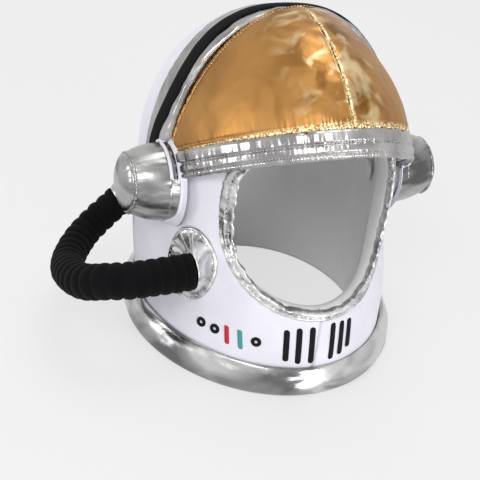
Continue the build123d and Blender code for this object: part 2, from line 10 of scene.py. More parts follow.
import bmesh
import bpy
from mathutils import Matrix, Vector, noise
from mathutils.bvhtree import BVHTree
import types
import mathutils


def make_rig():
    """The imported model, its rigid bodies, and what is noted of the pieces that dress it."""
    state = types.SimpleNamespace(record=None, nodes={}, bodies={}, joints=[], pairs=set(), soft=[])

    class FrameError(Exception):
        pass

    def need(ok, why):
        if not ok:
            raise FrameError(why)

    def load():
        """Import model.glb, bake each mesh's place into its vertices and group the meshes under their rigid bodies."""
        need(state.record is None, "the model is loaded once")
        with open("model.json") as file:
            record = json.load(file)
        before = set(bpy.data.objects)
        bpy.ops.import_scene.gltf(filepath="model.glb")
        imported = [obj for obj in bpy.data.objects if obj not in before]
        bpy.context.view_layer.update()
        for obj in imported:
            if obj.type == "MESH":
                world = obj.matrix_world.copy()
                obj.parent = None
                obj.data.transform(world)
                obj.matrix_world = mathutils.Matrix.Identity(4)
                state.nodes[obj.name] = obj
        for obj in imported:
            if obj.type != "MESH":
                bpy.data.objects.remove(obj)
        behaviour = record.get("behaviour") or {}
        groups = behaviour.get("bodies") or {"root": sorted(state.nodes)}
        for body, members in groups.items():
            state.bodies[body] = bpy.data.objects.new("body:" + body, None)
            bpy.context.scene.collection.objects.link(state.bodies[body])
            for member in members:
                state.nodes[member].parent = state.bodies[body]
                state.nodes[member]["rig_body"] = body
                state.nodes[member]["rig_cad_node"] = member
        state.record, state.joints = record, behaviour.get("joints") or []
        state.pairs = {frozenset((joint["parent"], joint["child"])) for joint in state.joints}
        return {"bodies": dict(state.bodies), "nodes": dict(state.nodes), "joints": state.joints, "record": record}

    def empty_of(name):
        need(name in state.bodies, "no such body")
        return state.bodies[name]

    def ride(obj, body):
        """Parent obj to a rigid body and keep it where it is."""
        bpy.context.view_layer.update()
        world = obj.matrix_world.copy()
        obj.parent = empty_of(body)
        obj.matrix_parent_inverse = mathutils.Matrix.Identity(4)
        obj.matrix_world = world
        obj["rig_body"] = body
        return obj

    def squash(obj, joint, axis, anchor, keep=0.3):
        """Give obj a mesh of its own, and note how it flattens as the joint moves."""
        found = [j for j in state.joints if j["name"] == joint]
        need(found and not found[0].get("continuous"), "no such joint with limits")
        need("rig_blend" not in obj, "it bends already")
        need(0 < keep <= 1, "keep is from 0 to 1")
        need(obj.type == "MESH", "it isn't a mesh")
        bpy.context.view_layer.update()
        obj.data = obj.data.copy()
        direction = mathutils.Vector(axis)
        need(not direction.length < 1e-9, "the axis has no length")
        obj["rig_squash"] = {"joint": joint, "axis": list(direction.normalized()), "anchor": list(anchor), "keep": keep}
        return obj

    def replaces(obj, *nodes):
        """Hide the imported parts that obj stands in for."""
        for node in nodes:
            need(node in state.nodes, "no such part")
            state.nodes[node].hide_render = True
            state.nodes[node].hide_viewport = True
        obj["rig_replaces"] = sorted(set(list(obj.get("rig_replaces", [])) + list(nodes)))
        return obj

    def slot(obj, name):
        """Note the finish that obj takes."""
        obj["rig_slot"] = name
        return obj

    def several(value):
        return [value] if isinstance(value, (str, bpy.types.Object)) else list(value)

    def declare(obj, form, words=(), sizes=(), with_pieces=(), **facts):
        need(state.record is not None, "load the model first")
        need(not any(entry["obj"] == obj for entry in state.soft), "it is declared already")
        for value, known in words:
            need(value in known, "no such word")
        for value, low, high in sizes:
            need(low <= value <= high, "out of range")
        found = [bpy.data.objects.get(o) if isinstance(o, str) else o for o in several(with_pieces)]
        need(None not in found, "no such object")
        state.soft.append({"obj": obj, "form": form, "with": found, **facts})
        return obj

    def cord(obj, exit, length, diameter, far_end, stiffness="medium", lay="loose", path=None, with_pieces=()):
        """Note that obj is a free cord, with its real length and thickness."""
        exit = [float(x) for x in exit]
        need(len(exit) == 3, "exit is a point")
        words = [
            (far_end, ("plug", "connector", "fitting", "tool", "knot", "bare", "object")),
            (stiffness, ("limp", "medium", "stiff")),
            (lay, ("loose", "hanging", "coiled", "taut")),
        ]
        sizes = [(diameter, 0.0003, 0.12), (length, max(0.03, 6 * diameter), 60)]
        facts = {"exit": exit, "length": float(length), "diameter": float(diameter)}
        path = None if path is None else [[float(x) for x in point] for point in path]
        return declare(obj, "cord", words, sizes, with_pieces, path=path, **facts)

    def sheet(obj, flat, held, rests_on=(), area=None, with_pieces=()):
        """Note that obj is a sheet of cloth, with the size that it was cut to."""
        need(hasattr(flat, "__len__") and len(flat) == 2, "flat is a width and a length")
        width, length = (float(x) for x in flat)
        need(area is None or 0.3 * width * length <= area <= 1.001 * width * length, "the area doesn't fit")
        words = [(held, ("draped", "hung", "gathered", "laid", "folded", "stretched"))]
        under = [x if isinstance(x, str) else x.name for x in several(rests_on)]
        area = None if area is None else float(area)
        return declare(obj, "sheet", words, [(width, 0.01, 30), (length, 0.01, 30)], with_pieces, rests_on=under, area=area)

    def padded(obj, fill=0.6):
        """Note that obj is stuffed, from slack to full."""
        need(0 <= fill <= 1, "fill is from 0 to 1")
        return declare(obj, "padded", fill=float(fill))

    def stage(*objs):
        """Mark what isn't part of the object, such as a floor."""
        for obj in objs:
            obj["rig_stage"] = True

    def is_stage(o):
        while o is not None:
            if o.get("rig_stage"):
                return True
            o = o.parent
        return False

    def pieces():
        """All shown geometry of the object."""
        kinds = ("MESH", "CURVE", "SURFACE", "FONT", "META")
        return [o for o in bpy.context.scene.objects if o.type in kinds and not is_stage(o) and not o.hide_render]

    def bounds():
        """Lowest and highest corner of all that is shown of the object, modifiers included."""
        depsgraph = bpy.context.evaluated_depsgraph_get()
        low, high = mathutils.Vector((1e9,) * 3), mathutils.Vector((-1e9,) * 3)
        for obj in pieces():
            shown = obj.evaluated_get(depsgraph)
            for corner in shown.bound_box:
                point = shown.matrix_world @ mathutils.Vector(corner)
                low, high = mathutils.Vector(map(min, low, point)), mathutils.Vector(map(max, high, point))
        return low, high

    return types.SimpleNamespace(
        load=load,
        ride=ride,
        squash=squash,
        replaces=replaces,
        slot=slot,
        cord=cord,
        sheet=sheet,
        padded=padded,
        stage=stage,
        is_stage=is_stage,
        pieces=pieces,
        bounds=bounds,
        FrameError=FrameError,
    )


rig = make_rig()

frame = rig.load()

LOG = logging.getLogger("helmet")
MM = 0.001
TURN = 2 * math.pi
EAR_HEIGHT = 126.0
HOOD_MIDDLE = Vector((0, 10, 110))
RIGHT, LEFT = -1, 1
Mesh = bmesh.types.BMesh
Triple = tuple[float, float, float]
Place = Callable[[float, float], Vector]


class Body(Enum):
    """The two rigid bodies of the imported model."""

    SHELL = "shell"
    VISOR = "visor"


# Shader maths


def sums(operation: str) -> tuple[Callable, Callable]:
    """A Math node as an operator, for a value that stands left and for one that stands right."""

    def left(self: "Sock", other: object) -> "Sock":
        """The sum with this value first."""
        return self.tree.node("ShaderNodeMath", {"operation": operation}, {0: self, 1: other})

    def right(self: "Sock", other: object) -> "Sock":
        """The sum with this value second."""
        return self.tree.node("ShaderNodeMath", {"operation": operation}, {0: other, 1: self})

    return left, right


class Sock:
    """A shader socket that takes part in sums."""

    def __init__(self, tree: "ShaderTree", link: bpy.types.NodeSocket) -> None:
        """Keeps the socket and the tree that new nodes go to."""
        self.tree = tree
        self.link = link

    __add__, __radd__ = sums("ADD")
    __sub__, __rsub__ = sums("SUBTRACT")
    __mul__, __rmul__ = sums("MULTIPLY")
    __truediv__, __rtruediv__ = sums("DIVIDE")


class ShaderTree:
    """The nodes of one material or of the world."""

    def __init__(self, owner: bpy.types.Material | bpy.types.World) -> None:
        """Empties the owner's nodes."""
        self.owner = owner
        owner.use_nodes = True
        self.nodes, self.links = owner.node_tree.nodes, owner.node_tree.links
        self.nodes.clear()

    def node(self, kind: str, settings: dict, values: dict, output: int | str = 0) -> Sock:
        """Adds any node.

        Args:
            kind: The node's type.
            settings: Attributes that are set first.
            values: Numbers or sockets by input name or place.
            output: Name or place of the output that is wanted.

        Returns:
            The output as a value for sums.
        """
        made = self.nodes.new(kind)
        for key, value in settings.items():
            setattr(made, key, value)
        for key, value in values.items():
            if isinstance(value, Sock):
                self.links.new(value.link, made.inputs[key])
            else:
                made.inputs[key].default_value = value
        return Sock(self, made.outputs[output])

    def coords(self) -> Sock:
        """Texture coordinates of the piece, in metres."""
        return self.node("ShaderNodeTexCoord", {}, {}, "Object")

    def cloth(self) -> Sock:
        """The piece's own cloth map, in metres."""
        return self.node("ShaderNodeUVMap", {"uv_map": "cloth"}, {})

    def noise(self, coords: Sock, scale: float, detail: float = 3, distortion: float = 0) -> Sock:
        """Soft noise with a number of features per metre."""
        values = {"Vector": coords, "Scale": scale, "Detail": detail, "Distortion": distortion}
        return self.node("ShaderNodeTexNoise", {}, values)

    def threads(self, coords: Sock, way: str, scale: float, distortion: float = 0) -> Sock:
        """Waves across one way, as from threads laid side by side."""
        values = {"Vector": coords, "Scale": scale, "Distortion": distortion}
        return self.node("ShaderNodeTexWave", {"bands_direction": way}, values, 1)

    def ramp(self, value: Sock, *stops: tuple[float, float]) -> Sock:
        """A value pushed through two stops of place and grey level."""
        made = self.node("ShaderNodeValToRGB", {}, {"Fac": value})
        for element, (place, level) in zip(made.link.node.color_ramp.elements, stops):
            element.position = place
            element.color = (level, level, level, 1)
        return made

    def mix(self, factor: Sock, *colours: Sock | Triple) -> Sock:
        """A blend of two colours."""
        first, second = (colour if isinstance(colour, Sock) else (*colour, 1) for colour in colours)
        return self.node("ShaderNodeMix", {"data_type": "RGBA"}, {0: factor, 6: first, 7: second}, 2)

    def bump(self, height: Sock, strength: float, distance: float, normal: Sock | None = None) -> Sock:
        """A bump from a height, over another bump where one is given."""
        under = {} if normal is None else {"Normal": normal}
        return self.node("ShaderNodeBump", {}, {"Strength": strength, "Distance": distance, "Height": height, **under})

    def seen_directly(self) -> Sock:
        """1 for rays from the camera, off a shiny face or through a clear one, and 0 for the others."""
        rays = self.node("ShaderNodeLightPath", {}, {}, "Is Camera Ray")
        for ray in ("Is Glossy Ray", "Is Transmission Ray"):
            rays = rays + self.node("ShaderNodeLightPath", {}, {}, ray)
        return rays

    def finish(self, shader: Sock, output: str = "ShaderNodeOutputMaterial") -> None:
        """Leads the last shader to the output."""
        self.links.new(shader.link, self.nodes.new(output).inputs[0])


# Finishes


class Look(NamedTuple):
    """A material and the record's slot that it stands for."""

    material: bpy.types.Material
    slot: str


@dataclass(frozen=True)
class Finish:
    """What all finishes share: a name, two tones and, where the name is another, the slot."""

    name: str
    colour: Triple
    shade: Triple = (0, 0, 0)
    slot: str = ""

    def _inputs(self, tree: ShaderTree) -> dict:
        """The shader's inputs by name."""
        raise NotImplementedError

    def look(self) -> Look:
        """Builds the material."""
        tree = ShaderTree(bpy.data.materials.new(self.name))
        tree.finish(tree.node("ShaderNodeBsdfPrincipled", {}, self._inputs(tree)))
        return Look(tree.owner, self.slot or self.name)

    def _dimmed(self, share: float) -> Triple:
        """The colour at a share of its brightness."""
        return tuple(share * part for part in self.colour)


@dataclass(frozen=True)
class PileCloth(Finish):
    """Short-pile velour or velvet with soft mottling and fine fibres."""

    roughness: float = 0.95
    sheen: float = 0.25
    pile: float = 0.0003

    def _inputs(self, tree: ShaderTree) -> dict:
        """The shader's inputs by name."""
        place = tree.coords()
        mottle = tree.ramp(tree.noise(place, 34, 4, 0.4), (0.34, 0), (0.68, 1))
        fibre = tree.noise(place, 1500, 2)
        brushed = tree.noise(place, 160, 3, 1.2)
        return {
            "Base Color": tree.mix(mottle * 0.7 + fibre * 0.3, self.shade, self.colour),
            "Roughness": self.roughness,
            "Normal": tree.bump(brushed, 0.25, self.pile * 2, tree.bump(fibre, 0.55, self.pile)),
            "Sheen Weight": self.sheen,
            "Sheen Roughness": 0.45,
            "Specular IOR Level": 0.15,
        }


@dataclass(frozen=True)
class MetalCloth(Finish):
    """Smooth metallic cloth with broad painted reflections, dark and bright patches in its colour, soft folds, faint
    creases and a fine weave.
    """

    slot: str = "silver_cloth"
    metal: float = 1.0
    smooth: float = 0.17
    rough: float = 0.28
    # Features per metre of the painted reflection patches; the shade tint colours their dark parts.
    patch: float = 34.0
    stretch: Triple = (0.6, 0.6, 1.7)
    fold: float = 0.0014
    crease: float = 0.0003

    def _face(self, tree: ShaderTree) -> tuple[Sock, Sock, Sock]:
        """The cloth's colour, roughness and normal before the weave."""
        drawn = tree.node("ShaderNodeVectorMath", {"operation": "MULTIPLY"}, {0: tree.coords(), 1: self.stretch})
        creases = tree.noise(drawn, 260, 4, 1.0)
        # Painted reflection: broad dark and bright patches in the colour that stand in for reflections of the
        # surroundings and for the shaded sides of folds.
        tone = tree.ramp(tree.noise(drawn, self.patch, 2, 0.7), (0.37, 0), (0.6, 1))
        # The colour also follows the crease height a little, so crease hollows are painted darker: painted shade.
        colour = tree.mix(tone * 0.85 + creases * 0.15, self.shade, self.colour)
        normal = tree.bump(tree.noise(drawn, 48, 2, 0.6), 0.35, self.fold)
        normal = tree.bump(creases, 0.3, self.crease, normal)
        return colour, self.smooth + tone * (self.rough - self.smooth), normal

    def _inputs(self, tree: ShaderTree) -> dict:
        """The shader's inputs by name."""
        colour, roughness, normal = self._face(tree)
        grain = tree.noise(tree.coords(), 2100, 1)
        return {
            "Base Color": colour,
            "Roughness": roughness + grain * 0.05,
            "Metallic": self.metal,
            "Normal": tree.bump(grain, 0.2, 0.00006, normal),
        }


@dataclass(frozen=True)
class GoldCloth(MetalCloth):
    """Metallic cloth of a visor panel: matt by the ear; lively by the middle seam, with painted dark reflections and
    painted highlights; painted sparkle where it is gathered.
    """

    # Tints of the painted highlights and sparkle, and of the painted dark reflections.
    glint: Triple = (1.0, 0.84, 0.50)
    dark: Triple = (0.20, 0.085, 0.018)
    panel: float = 0.15
    edge: float = 0.009

    def _face(self, tree: ShaderTree) -> tuple[Sock, Sock, Sock]:
        """The cloth's colour, roughness and normal before the weave."""
        colour, roughness, normal = super()._face(tree)
        place = tree.coords()
        across, along = (tree.node("ShaderNodeSeparateXYZ", {}, {"Vector": tree.cloth()}, axis) for axis in "XY")
        # Near the middle seam the cloth is smoother and gets the painted dark reflections and highlights.
        lively = tree.ramp(across / self.panel, (0.62, 0), (0.9, 1))
        low = tree.ramp(along / self.edge, (0.42, 1), (0.75, 0))
        rear = tree.ramp((self.panel - along) / self.edge, (0.9, 1), (1.0, 0))
        seam = tree.ramp((self.panel - across) / self.edge, (0.1, 1), (0.4, 0))
        # The real gathers at the lower, rear and seam edges get a bump and the painted sparkle.
        gathered = tree.node("ShaderNodeClamp", {}, {0: low + rear + seam})
        # Painted shade and light: dark reflections, highlights and sparkle mixed into the colour; the roughness below
        # also follows the sparkle.
        shadow = tree.ramp(tree.noise(place, 44, 3, 0.6), (0.46, 0), (0.59, 1)) * lively * 0.9
        gleam = tree.ramp(tree.noise(place, 57, 2, 0.5), (0.51, 0), (0.67, 1)) * lively * 0.55
        painted_sparkle = tree.ramp(tree.noise(place, 560, 3, 0.6), (0.42, 0), (0.56, 1)) * gathered
        for share, tint in ((shadow, self.dark), (gleam, self.glint), (painted_sparkle, self.glint)):
            colour = tree.mix(share, colour, tint)
        roughness = roughness + (1 - lively) * 0.12 - painted_sparkle * 0.12
        return colour, roughness, tree.bump(tree.noise(place, 430, 3, 0.8) * gathered, 0.8, 0.0012, normal)


@dataclass(frozen=True)
class WovenCloth(Finish):
    """Plain weave of crossing threads without shine, for lining and ribbon."""

    threads: float = 1100.0

    def _inputs(self, tree: ShaderTree) -> dict:
        """The shader's inputs by name."""
        place = tree.coords()
        warp, weft = (tree.threads(place, way, self.threads / 6) for way in "XZ")
        crease = tree.noise(place, 70, 4, 0.8)
        weave = warp * 0.5 + weft * 0.5
        return {
            # The colour sinks towards the shade tint in the weave's gaps and the creases' hollows, where the bump is
            # low: painted shade.
            "Base Color": tree.mix(weave * 0.4 + crease * 0.6, self.shade, self.colour),
            "Roughness": 0.9,
            "Normal": tree.bump(crease, 0.35, 0.0012, tree.bump(weave, 0.3, 0.0001)),
            "Specular IOR Level": 0.2,
        }


@dataclass(frozen=True)
class SatinThread(Finish):
    """Embroidery thread laid side by side across a mark, along the mark's own map."""

    roughness: float = 0.5

    def _inputs(self, tree: ShaderTree) -> dict:
        """The shader's inputs by name."""
        rows = tree.threads(tree.cloth(), "Y", 420.0, 0.6)
        return {
            # Between the laid threads the colour dims to under half, where the bump sinks: painted shade.
            "Base Color": tree.mix(rows, self._dimmed(0.45), self.colour),
            "Roughness": self.roughness,
            "Normal": tree.bump(rows, 0.6, 0.0003),
            "Specular IOR Level": 0.25,
        }


@dataclass(frozen=True)
class HardFinish(Finish):
    """Slightly uneven moulded plastic or pressed metal of the hidden ear joint."""

    metal: float = 0.0
    roughness: float = 0.4

    def _inputs(self, tree: ShaderTree) -> dict:
        """The shader's inputs by name."""
        flow = tree.noise(tree.coords(), 240, 3, 0.5)
        return {
            "Base Color": tree.mix(flow, self._dimmed(0.9), self.colour),
            "Roughness": self.roughness + flow * 0.12,
            "Metallic": self.metal,
            "Normal": tree.bump(flow, 0.15, 0.0002),
        }


class Wardrobe:
    """All finishes, made once each."""

    def __init__(self) -> None:
        """Builds every material."""
        black = (0.0015, 0.0015, 0.002)
        gold = {"slot": "gold_cloth", "smooth": 0.25}
        self.velour = PileCloth("white_velour", (0.80, 0.79, 0.85), (0.72, 0.71, 0.78)).look()
        self.lining = WovenCloth("white_lining", (0.90, 0.89, 0.89), (0.82, 0.81, 0.82)).look()
        # Each silver and gold cloth carries painted reflections in its colour, between its shade tint and its colour.
        self.silver = MetalCloth("silver_cloth", (0.47, 0.466, 0.46), (0.10, 0.10, 0.103)).look()
        # The neck roll takes a brighter copy of the silver whose painted reflections are wide patches drawn out into
        # bands round the roll: painted bright and dark reflection bands.
        self.broad = MetalCloth(
            "silver_broad", (0.66, 0.655, 0.65), (0.13, 0.13, 0.135), patch=15.0, stretch=(1, 1, 2.4), fold=0.0006
        ).look()
        # A rougher silver with weaker painted reflections, for the crown band, the brim strip and the rolled edge.
        self.satin = MetalCloth(
            "silver_satin", (0.50, 0.488, 0.483), (0.31, 0.303, 0.302), rough=0.36, stretch=(1, 1, 1)
        ).look()
        # The face binding and the hose bosses take a brighter copy of the silver cloth, in the same slot: painted
        # highlight for the glare on the binding.
        self.binding = MetalCloth("silver_binding", (0.85, 0.845, 0.84), (0.4, 0.4, 0.405), patch=60.0).look()
        # Real stitches, in a pale silver that also stands in for the sparkle of light on the puckered stitch rows:
        # partly painted highlight.
        self.silver_thread = MetalCloth(
            "silver_stitches", (0.72, 0.72, 0.72), (0.5, 0.5, 0.5), metal=0.7, smooth=0.3, rough=0.4
        ).look()
        self.gold = GoldCloth(
            "gold_cloth", (0.45, 0.232, 0.069), (0.36, 0.172, 0.046), **gold, metal=0.9, rough=0.33,
            patch=26, stretch=(1, 1, 1), fold=0.001, crease=0.0002,
        ).look()
        # Real stitches, in a pale gold near the painted glint tint that also stands in for the sparkle on the puckered
        # seam rows: partly painted highlight.
        self.gold_thread = MetalCloth(
            "gold_stitches", (0.95, 0.74, 0.42), (0.8, 0.5, 0.2), **gold, metal=0.7, rough=0.35
        ).look()
        self.velvet = PileCloth(
            "black_velvet", (0.004, 0.004, 0.005), black, roughness=1.0, sheen=0.022, pile=0.0005
        ).look()
        self.ribbon = WovenCloth("black_ribbon", (0.0045, 0.0045, 0.005), black, threads=1600).look()
        self.black_thread = SatinThread("black_thread", (0.004, 0.004, 0.006), roughness=0.8).look()
        self.red_thread = SatinThread("red_thread", (0.70, 0.03, 0.05)).look()
        self.teal_thread = SatinThread("teal_thread", (0.08, 0.42, 0.42)).look()
        self.plastic = HardFinish("white_plastic", (0.8, 0.8, 0.8)).look()
        self.eyelet = HardFinish("eyelet_metal", (0.75, 0.75, 0.76), metal=1.0, roughness=0.28).look()


# Curves and waves


def ripple(place: float, seed: float) -> float:
    """Smooth waves along a line, from about -1 to 1."""
    return noise.noise(Vector((place, seed, 0.31 * seed)))


def smoothstep(low: float, high: float, value: float) -> float:
    """A soft step from 0 to 1 between two values."""
    share = min(1.0, max(0.0, (value - low) / (high - low)))
    return share * share * (3 - 2 * share)


def ridge(value: float, middle: float, width: float) -> float:
    """A soft ridge of height 1 about a place."""
    return math.exp(-(((value - middle) / width) ** 2))


def last_share(test: Callable[[float], bool], high: float = 1.0) -> float:
    """The greatest share up to which a test that turns false once is true."""
    low = 0.0
    for _ in range(24):
        middle = (low + high) / 2
        if test(middle):
            low = middle
        else:
            high = middle
    return low


def bezier(points: Sequence[tuple[float, float]], share: float) -> tuple[float, float]:
    """A point on a cubic curve."""
    a, b, c, d = (1 - share) ** 3, 3 * (1 - share) ** 2 * share, 3 * (1 - share) * share**2, share**3
    p, q, r, s = points
    return a * p[0] + b * q[0] + c * r[0] + d * s[0], a * p[1] + b * q[1] + c * r[1] + d * s[1]


def mirrored_loop(turn: float, first: Sequence, second: Sequence) -> tuple[float, float]:
    """A point at a share of the way round a loop whose halves mirror each other.

    Args:
        turn: Share of the way round, from where the first quarter starts.
        first: Cubic curve of the first quarter.
        second: Cubic curve of the second quarter.

    Returns:
        The point, mirrored across the middle in the second half.
    """
    turn = turn % 1.0
    half = min(turn, 1 - turn)
    x, y = bezier(first, half * 4) if half < 0.25 else bezier(second, half * 4 - 1)
    return (-x if turn > 0.5 else x), y


def closed_curve(points: Sequence[tuple[float, float]], share: float) -> list[float]:
    """A point on a smooth closed line through given points."""
    count = len(points)
    at = share * count
    index, t = int(at) % count, at - int(at)
    near = (points[(index + step) % count] for step in (-1, 0, 1, 2))
    return [
        0.5 * (2 * b + (c - a) * t + (2 * a - 5 * b + 4 * c - d) * t * t + (3 * b - a - 3 * c + d) * t**3)
        for a, b, c, d in zip(*near)
    ]


@dataclass(frozen=True)
class Waves:
    """Waves along a line that die out away from it; sizes in millimetres."""

    height: float
    length: float
    seed: float
    reach: float = math.inf

    def at(self, run: float, away: float = 0.0) -> float:
        """The height at a place along the line and a distance from it."""
        return self.height * math.exp(-away / self.reach) * ripple(run / self.length, self.seed)


@dataclass(frozen=True)
class Folds:
    """Soft folds over a surface, the widest of a given size; sizes in millimetres."""

    height: float
    size: float
    seed: float
    octaves: int = 2

    def at(self, point: Vector) -> float:
        """The height at a place."""
        shifted = point / self.size + Vector((self.seed, 2 * self.seed, -self.seed))
        return self.height * noise.fractal(shifted, 1.0, 2.0, self.octaves)


# Meshes


@dataclass(frozen=True)
class ClothGrid:
    """A sheet of cloth as a grid that a rule puts in place, with a map in metres; sizes in millimetres."""

    columns: int
    rows: int
    width: float
    height: float

    def build(self, place: Place) -> Mesh:
        """Makes the sheet.

        Args:
            place: Gives a point in millimetres for two shares from 0 to 1.

        Returns:
            The mesh in millimetres, with meeting edges joined.
        """
        sheet = bmesh.new()
        bmesh.ops.create_grid(sheet, x_segments=self.columns, y_segments=self.rows, size=0.5)
        cloth = sheet.loops.layers.uv.new("cloth")
        for face in sheet.faces:
            for loop in face.loops:
                u, v = loop.vert.co.x + 0.5, loop.vert.co.y + 0.5
                loop[cloth].uv = (u * self.width * MM, v * self.height * MM)
        for vert in sheet.verts:
            vert.co = place(vert.co.x + 0.5, vert.co.y + 0.5)
        bmesh.ops.remove_doubles(sheet, verts=sheet.verts, dist=0.01)
        return sheet


def close_ends(mesh: Mesh) -> Mesh:
    """Fills the open ends of a tube."""
    bmesh.ops.holes_fill(mesh, edges=[edge for edge in mesh.edges if edge.is_boundary], sides=0)
    return mesh


@dataclass(frozen=True)
class StitchRow:
    """A row of short raised stitches along a line, in millimetres."""

    length: float
    width: float
    spacing: float

    def build(self, line: Sequence[tuple[Vector, Vector]]) -> Mesh:
        """Lays the stitches.

        Args:
            line: Points and outward directions in millimetres, close together.

        Returns:
            All stitches of the row as one mesh.
        """
        row = bmesh.new()
        size = Matrix.Diagonal((self.length / 2, self.width / 2, self.width / 2, 1))
        walked = 0.0
        for (here, out), (there, _) in zip(line, line[1:]):
            walked += (there - here).length
            if walked < self.spacing:
                continue
            walked = 0.0
            along = (there - here).normalized()
            turn = Matrix((along, out.cross(along).normalized(), out)).transposed().to_4x4()
            bmesh.ops.create_icosphere(row, subdivisions=1, radius=1.0, matrix=Matrix.Translation(here) @ turn @ size)
        return row


def to_data(name: str, mesh: Mesh, material: bpy.types.Material) -> bpy.types.Mesh:
    """Ends a working mesh as mesh data with a material."""
    data = bpy.data.meshes.new(name)
    mesh.to_mesh(data)
    mesh.free()
    data.materials.append(material)
    return data


def show(name: str, data: bpy.types.ID) -> bpy.types.Object:
    """Puts data into the scene as an object."""
    thing = bpy.data.objects.new(name, data)
    bpy.context.scene.collection.objects.link(thing)
    return thing


@dataclass(frozen=True)
class Cut:
    """The flat cloth that a sheet was cut from, in metres and square metres."""

    width: float
    length: float
    area: float
    held: str
    rests_on: tuple[str, ...]


@dataclass
class Maker:
    """Turns finished meshes into pieces of the model."""

    made: int = 0

    def piece(
        self,
        name: str,
        mesh: Mesh,
        look: Look,
        body: Body,
        also: Sequence[str] = (),
        away_from: Vector | None = None,
        wall: float = 0.0,
        fill: float | None = None,
        cut: Cut | None = None,
    ) -> bpy.types.Object:
        """Adds one piece, in place of the CAD node that has its name.

        Args:
            name: Name of the piece.
            mesh: Its mesh in millimetres, which is used up.
            look: Its finish.
            body: The rigid body that it rides on.
            also: Other CAD nodes that it stands for.
            away_from: For an open sheet, a point that it faces away from.
            wall: Thickness given inwards, in millimetres.
            fill: How tightly a padded piece is stuffed.
            cut: For a sheet, the flat cloth that it was cut from.

        Returns:
            The piece.
        """
        bmesh.ops.recalc_face_normals(mesh, faces=mesh.faces)
        if away_from is not None:
            outward = sum(f.normal.dot(f.calc_center_median() - away_from) * f.calc_area() for f in mesh.faces)
            if outward < 0:
                bmesh.ops.reverse_faces(mesh, faces=mesh.faces)
        bmesh.ops.scale(mesh, vec=(MM, MM, MM), verts=mesh.verts)
        data = to_data(name, mesh, look.material)
        data.polygons.foreach_set("use_smooth", [True] * len(data.polygons))
        thing = show(name, data)
        if wall:
            sheet = thing.modifiers.new("wall", "SOLIDIFY")
            sheet.thickness = wall * MM
            sheet.offset = -1
        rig.ride(thing, body.value)
        nodes = [node for node in (name, *also) if node in frame["nodes"]]
        if nodes:
            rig.replaces(thing, *nodes)
        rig.slot(thing, look.slot)
        if fill is not None:
            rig.padded(thing, fill=fill)
        if cut is not None:
            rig.sheet(thing, flat=(cut.width, cut.length), held=cut.held, rests_on=list(cut.rests_on), area=cut.area)
        self.made += 1
        area = sum(face.area for face in data.polygons)
        LOG.info("%s: %d faces, %.5f square metres", name, len(data.polygons), area)
        return thing

    def dress(self, node: str, look: Look) -> None:
        """Gives a CAD node that stays its material."""
        if node not in frame["nodes"]:
            return
        for slot in frame["nodes"][node].material_slots:
            slot.material = look.material
        LOG.info("%s: dressed", node)


# Forms that several pieces lie on


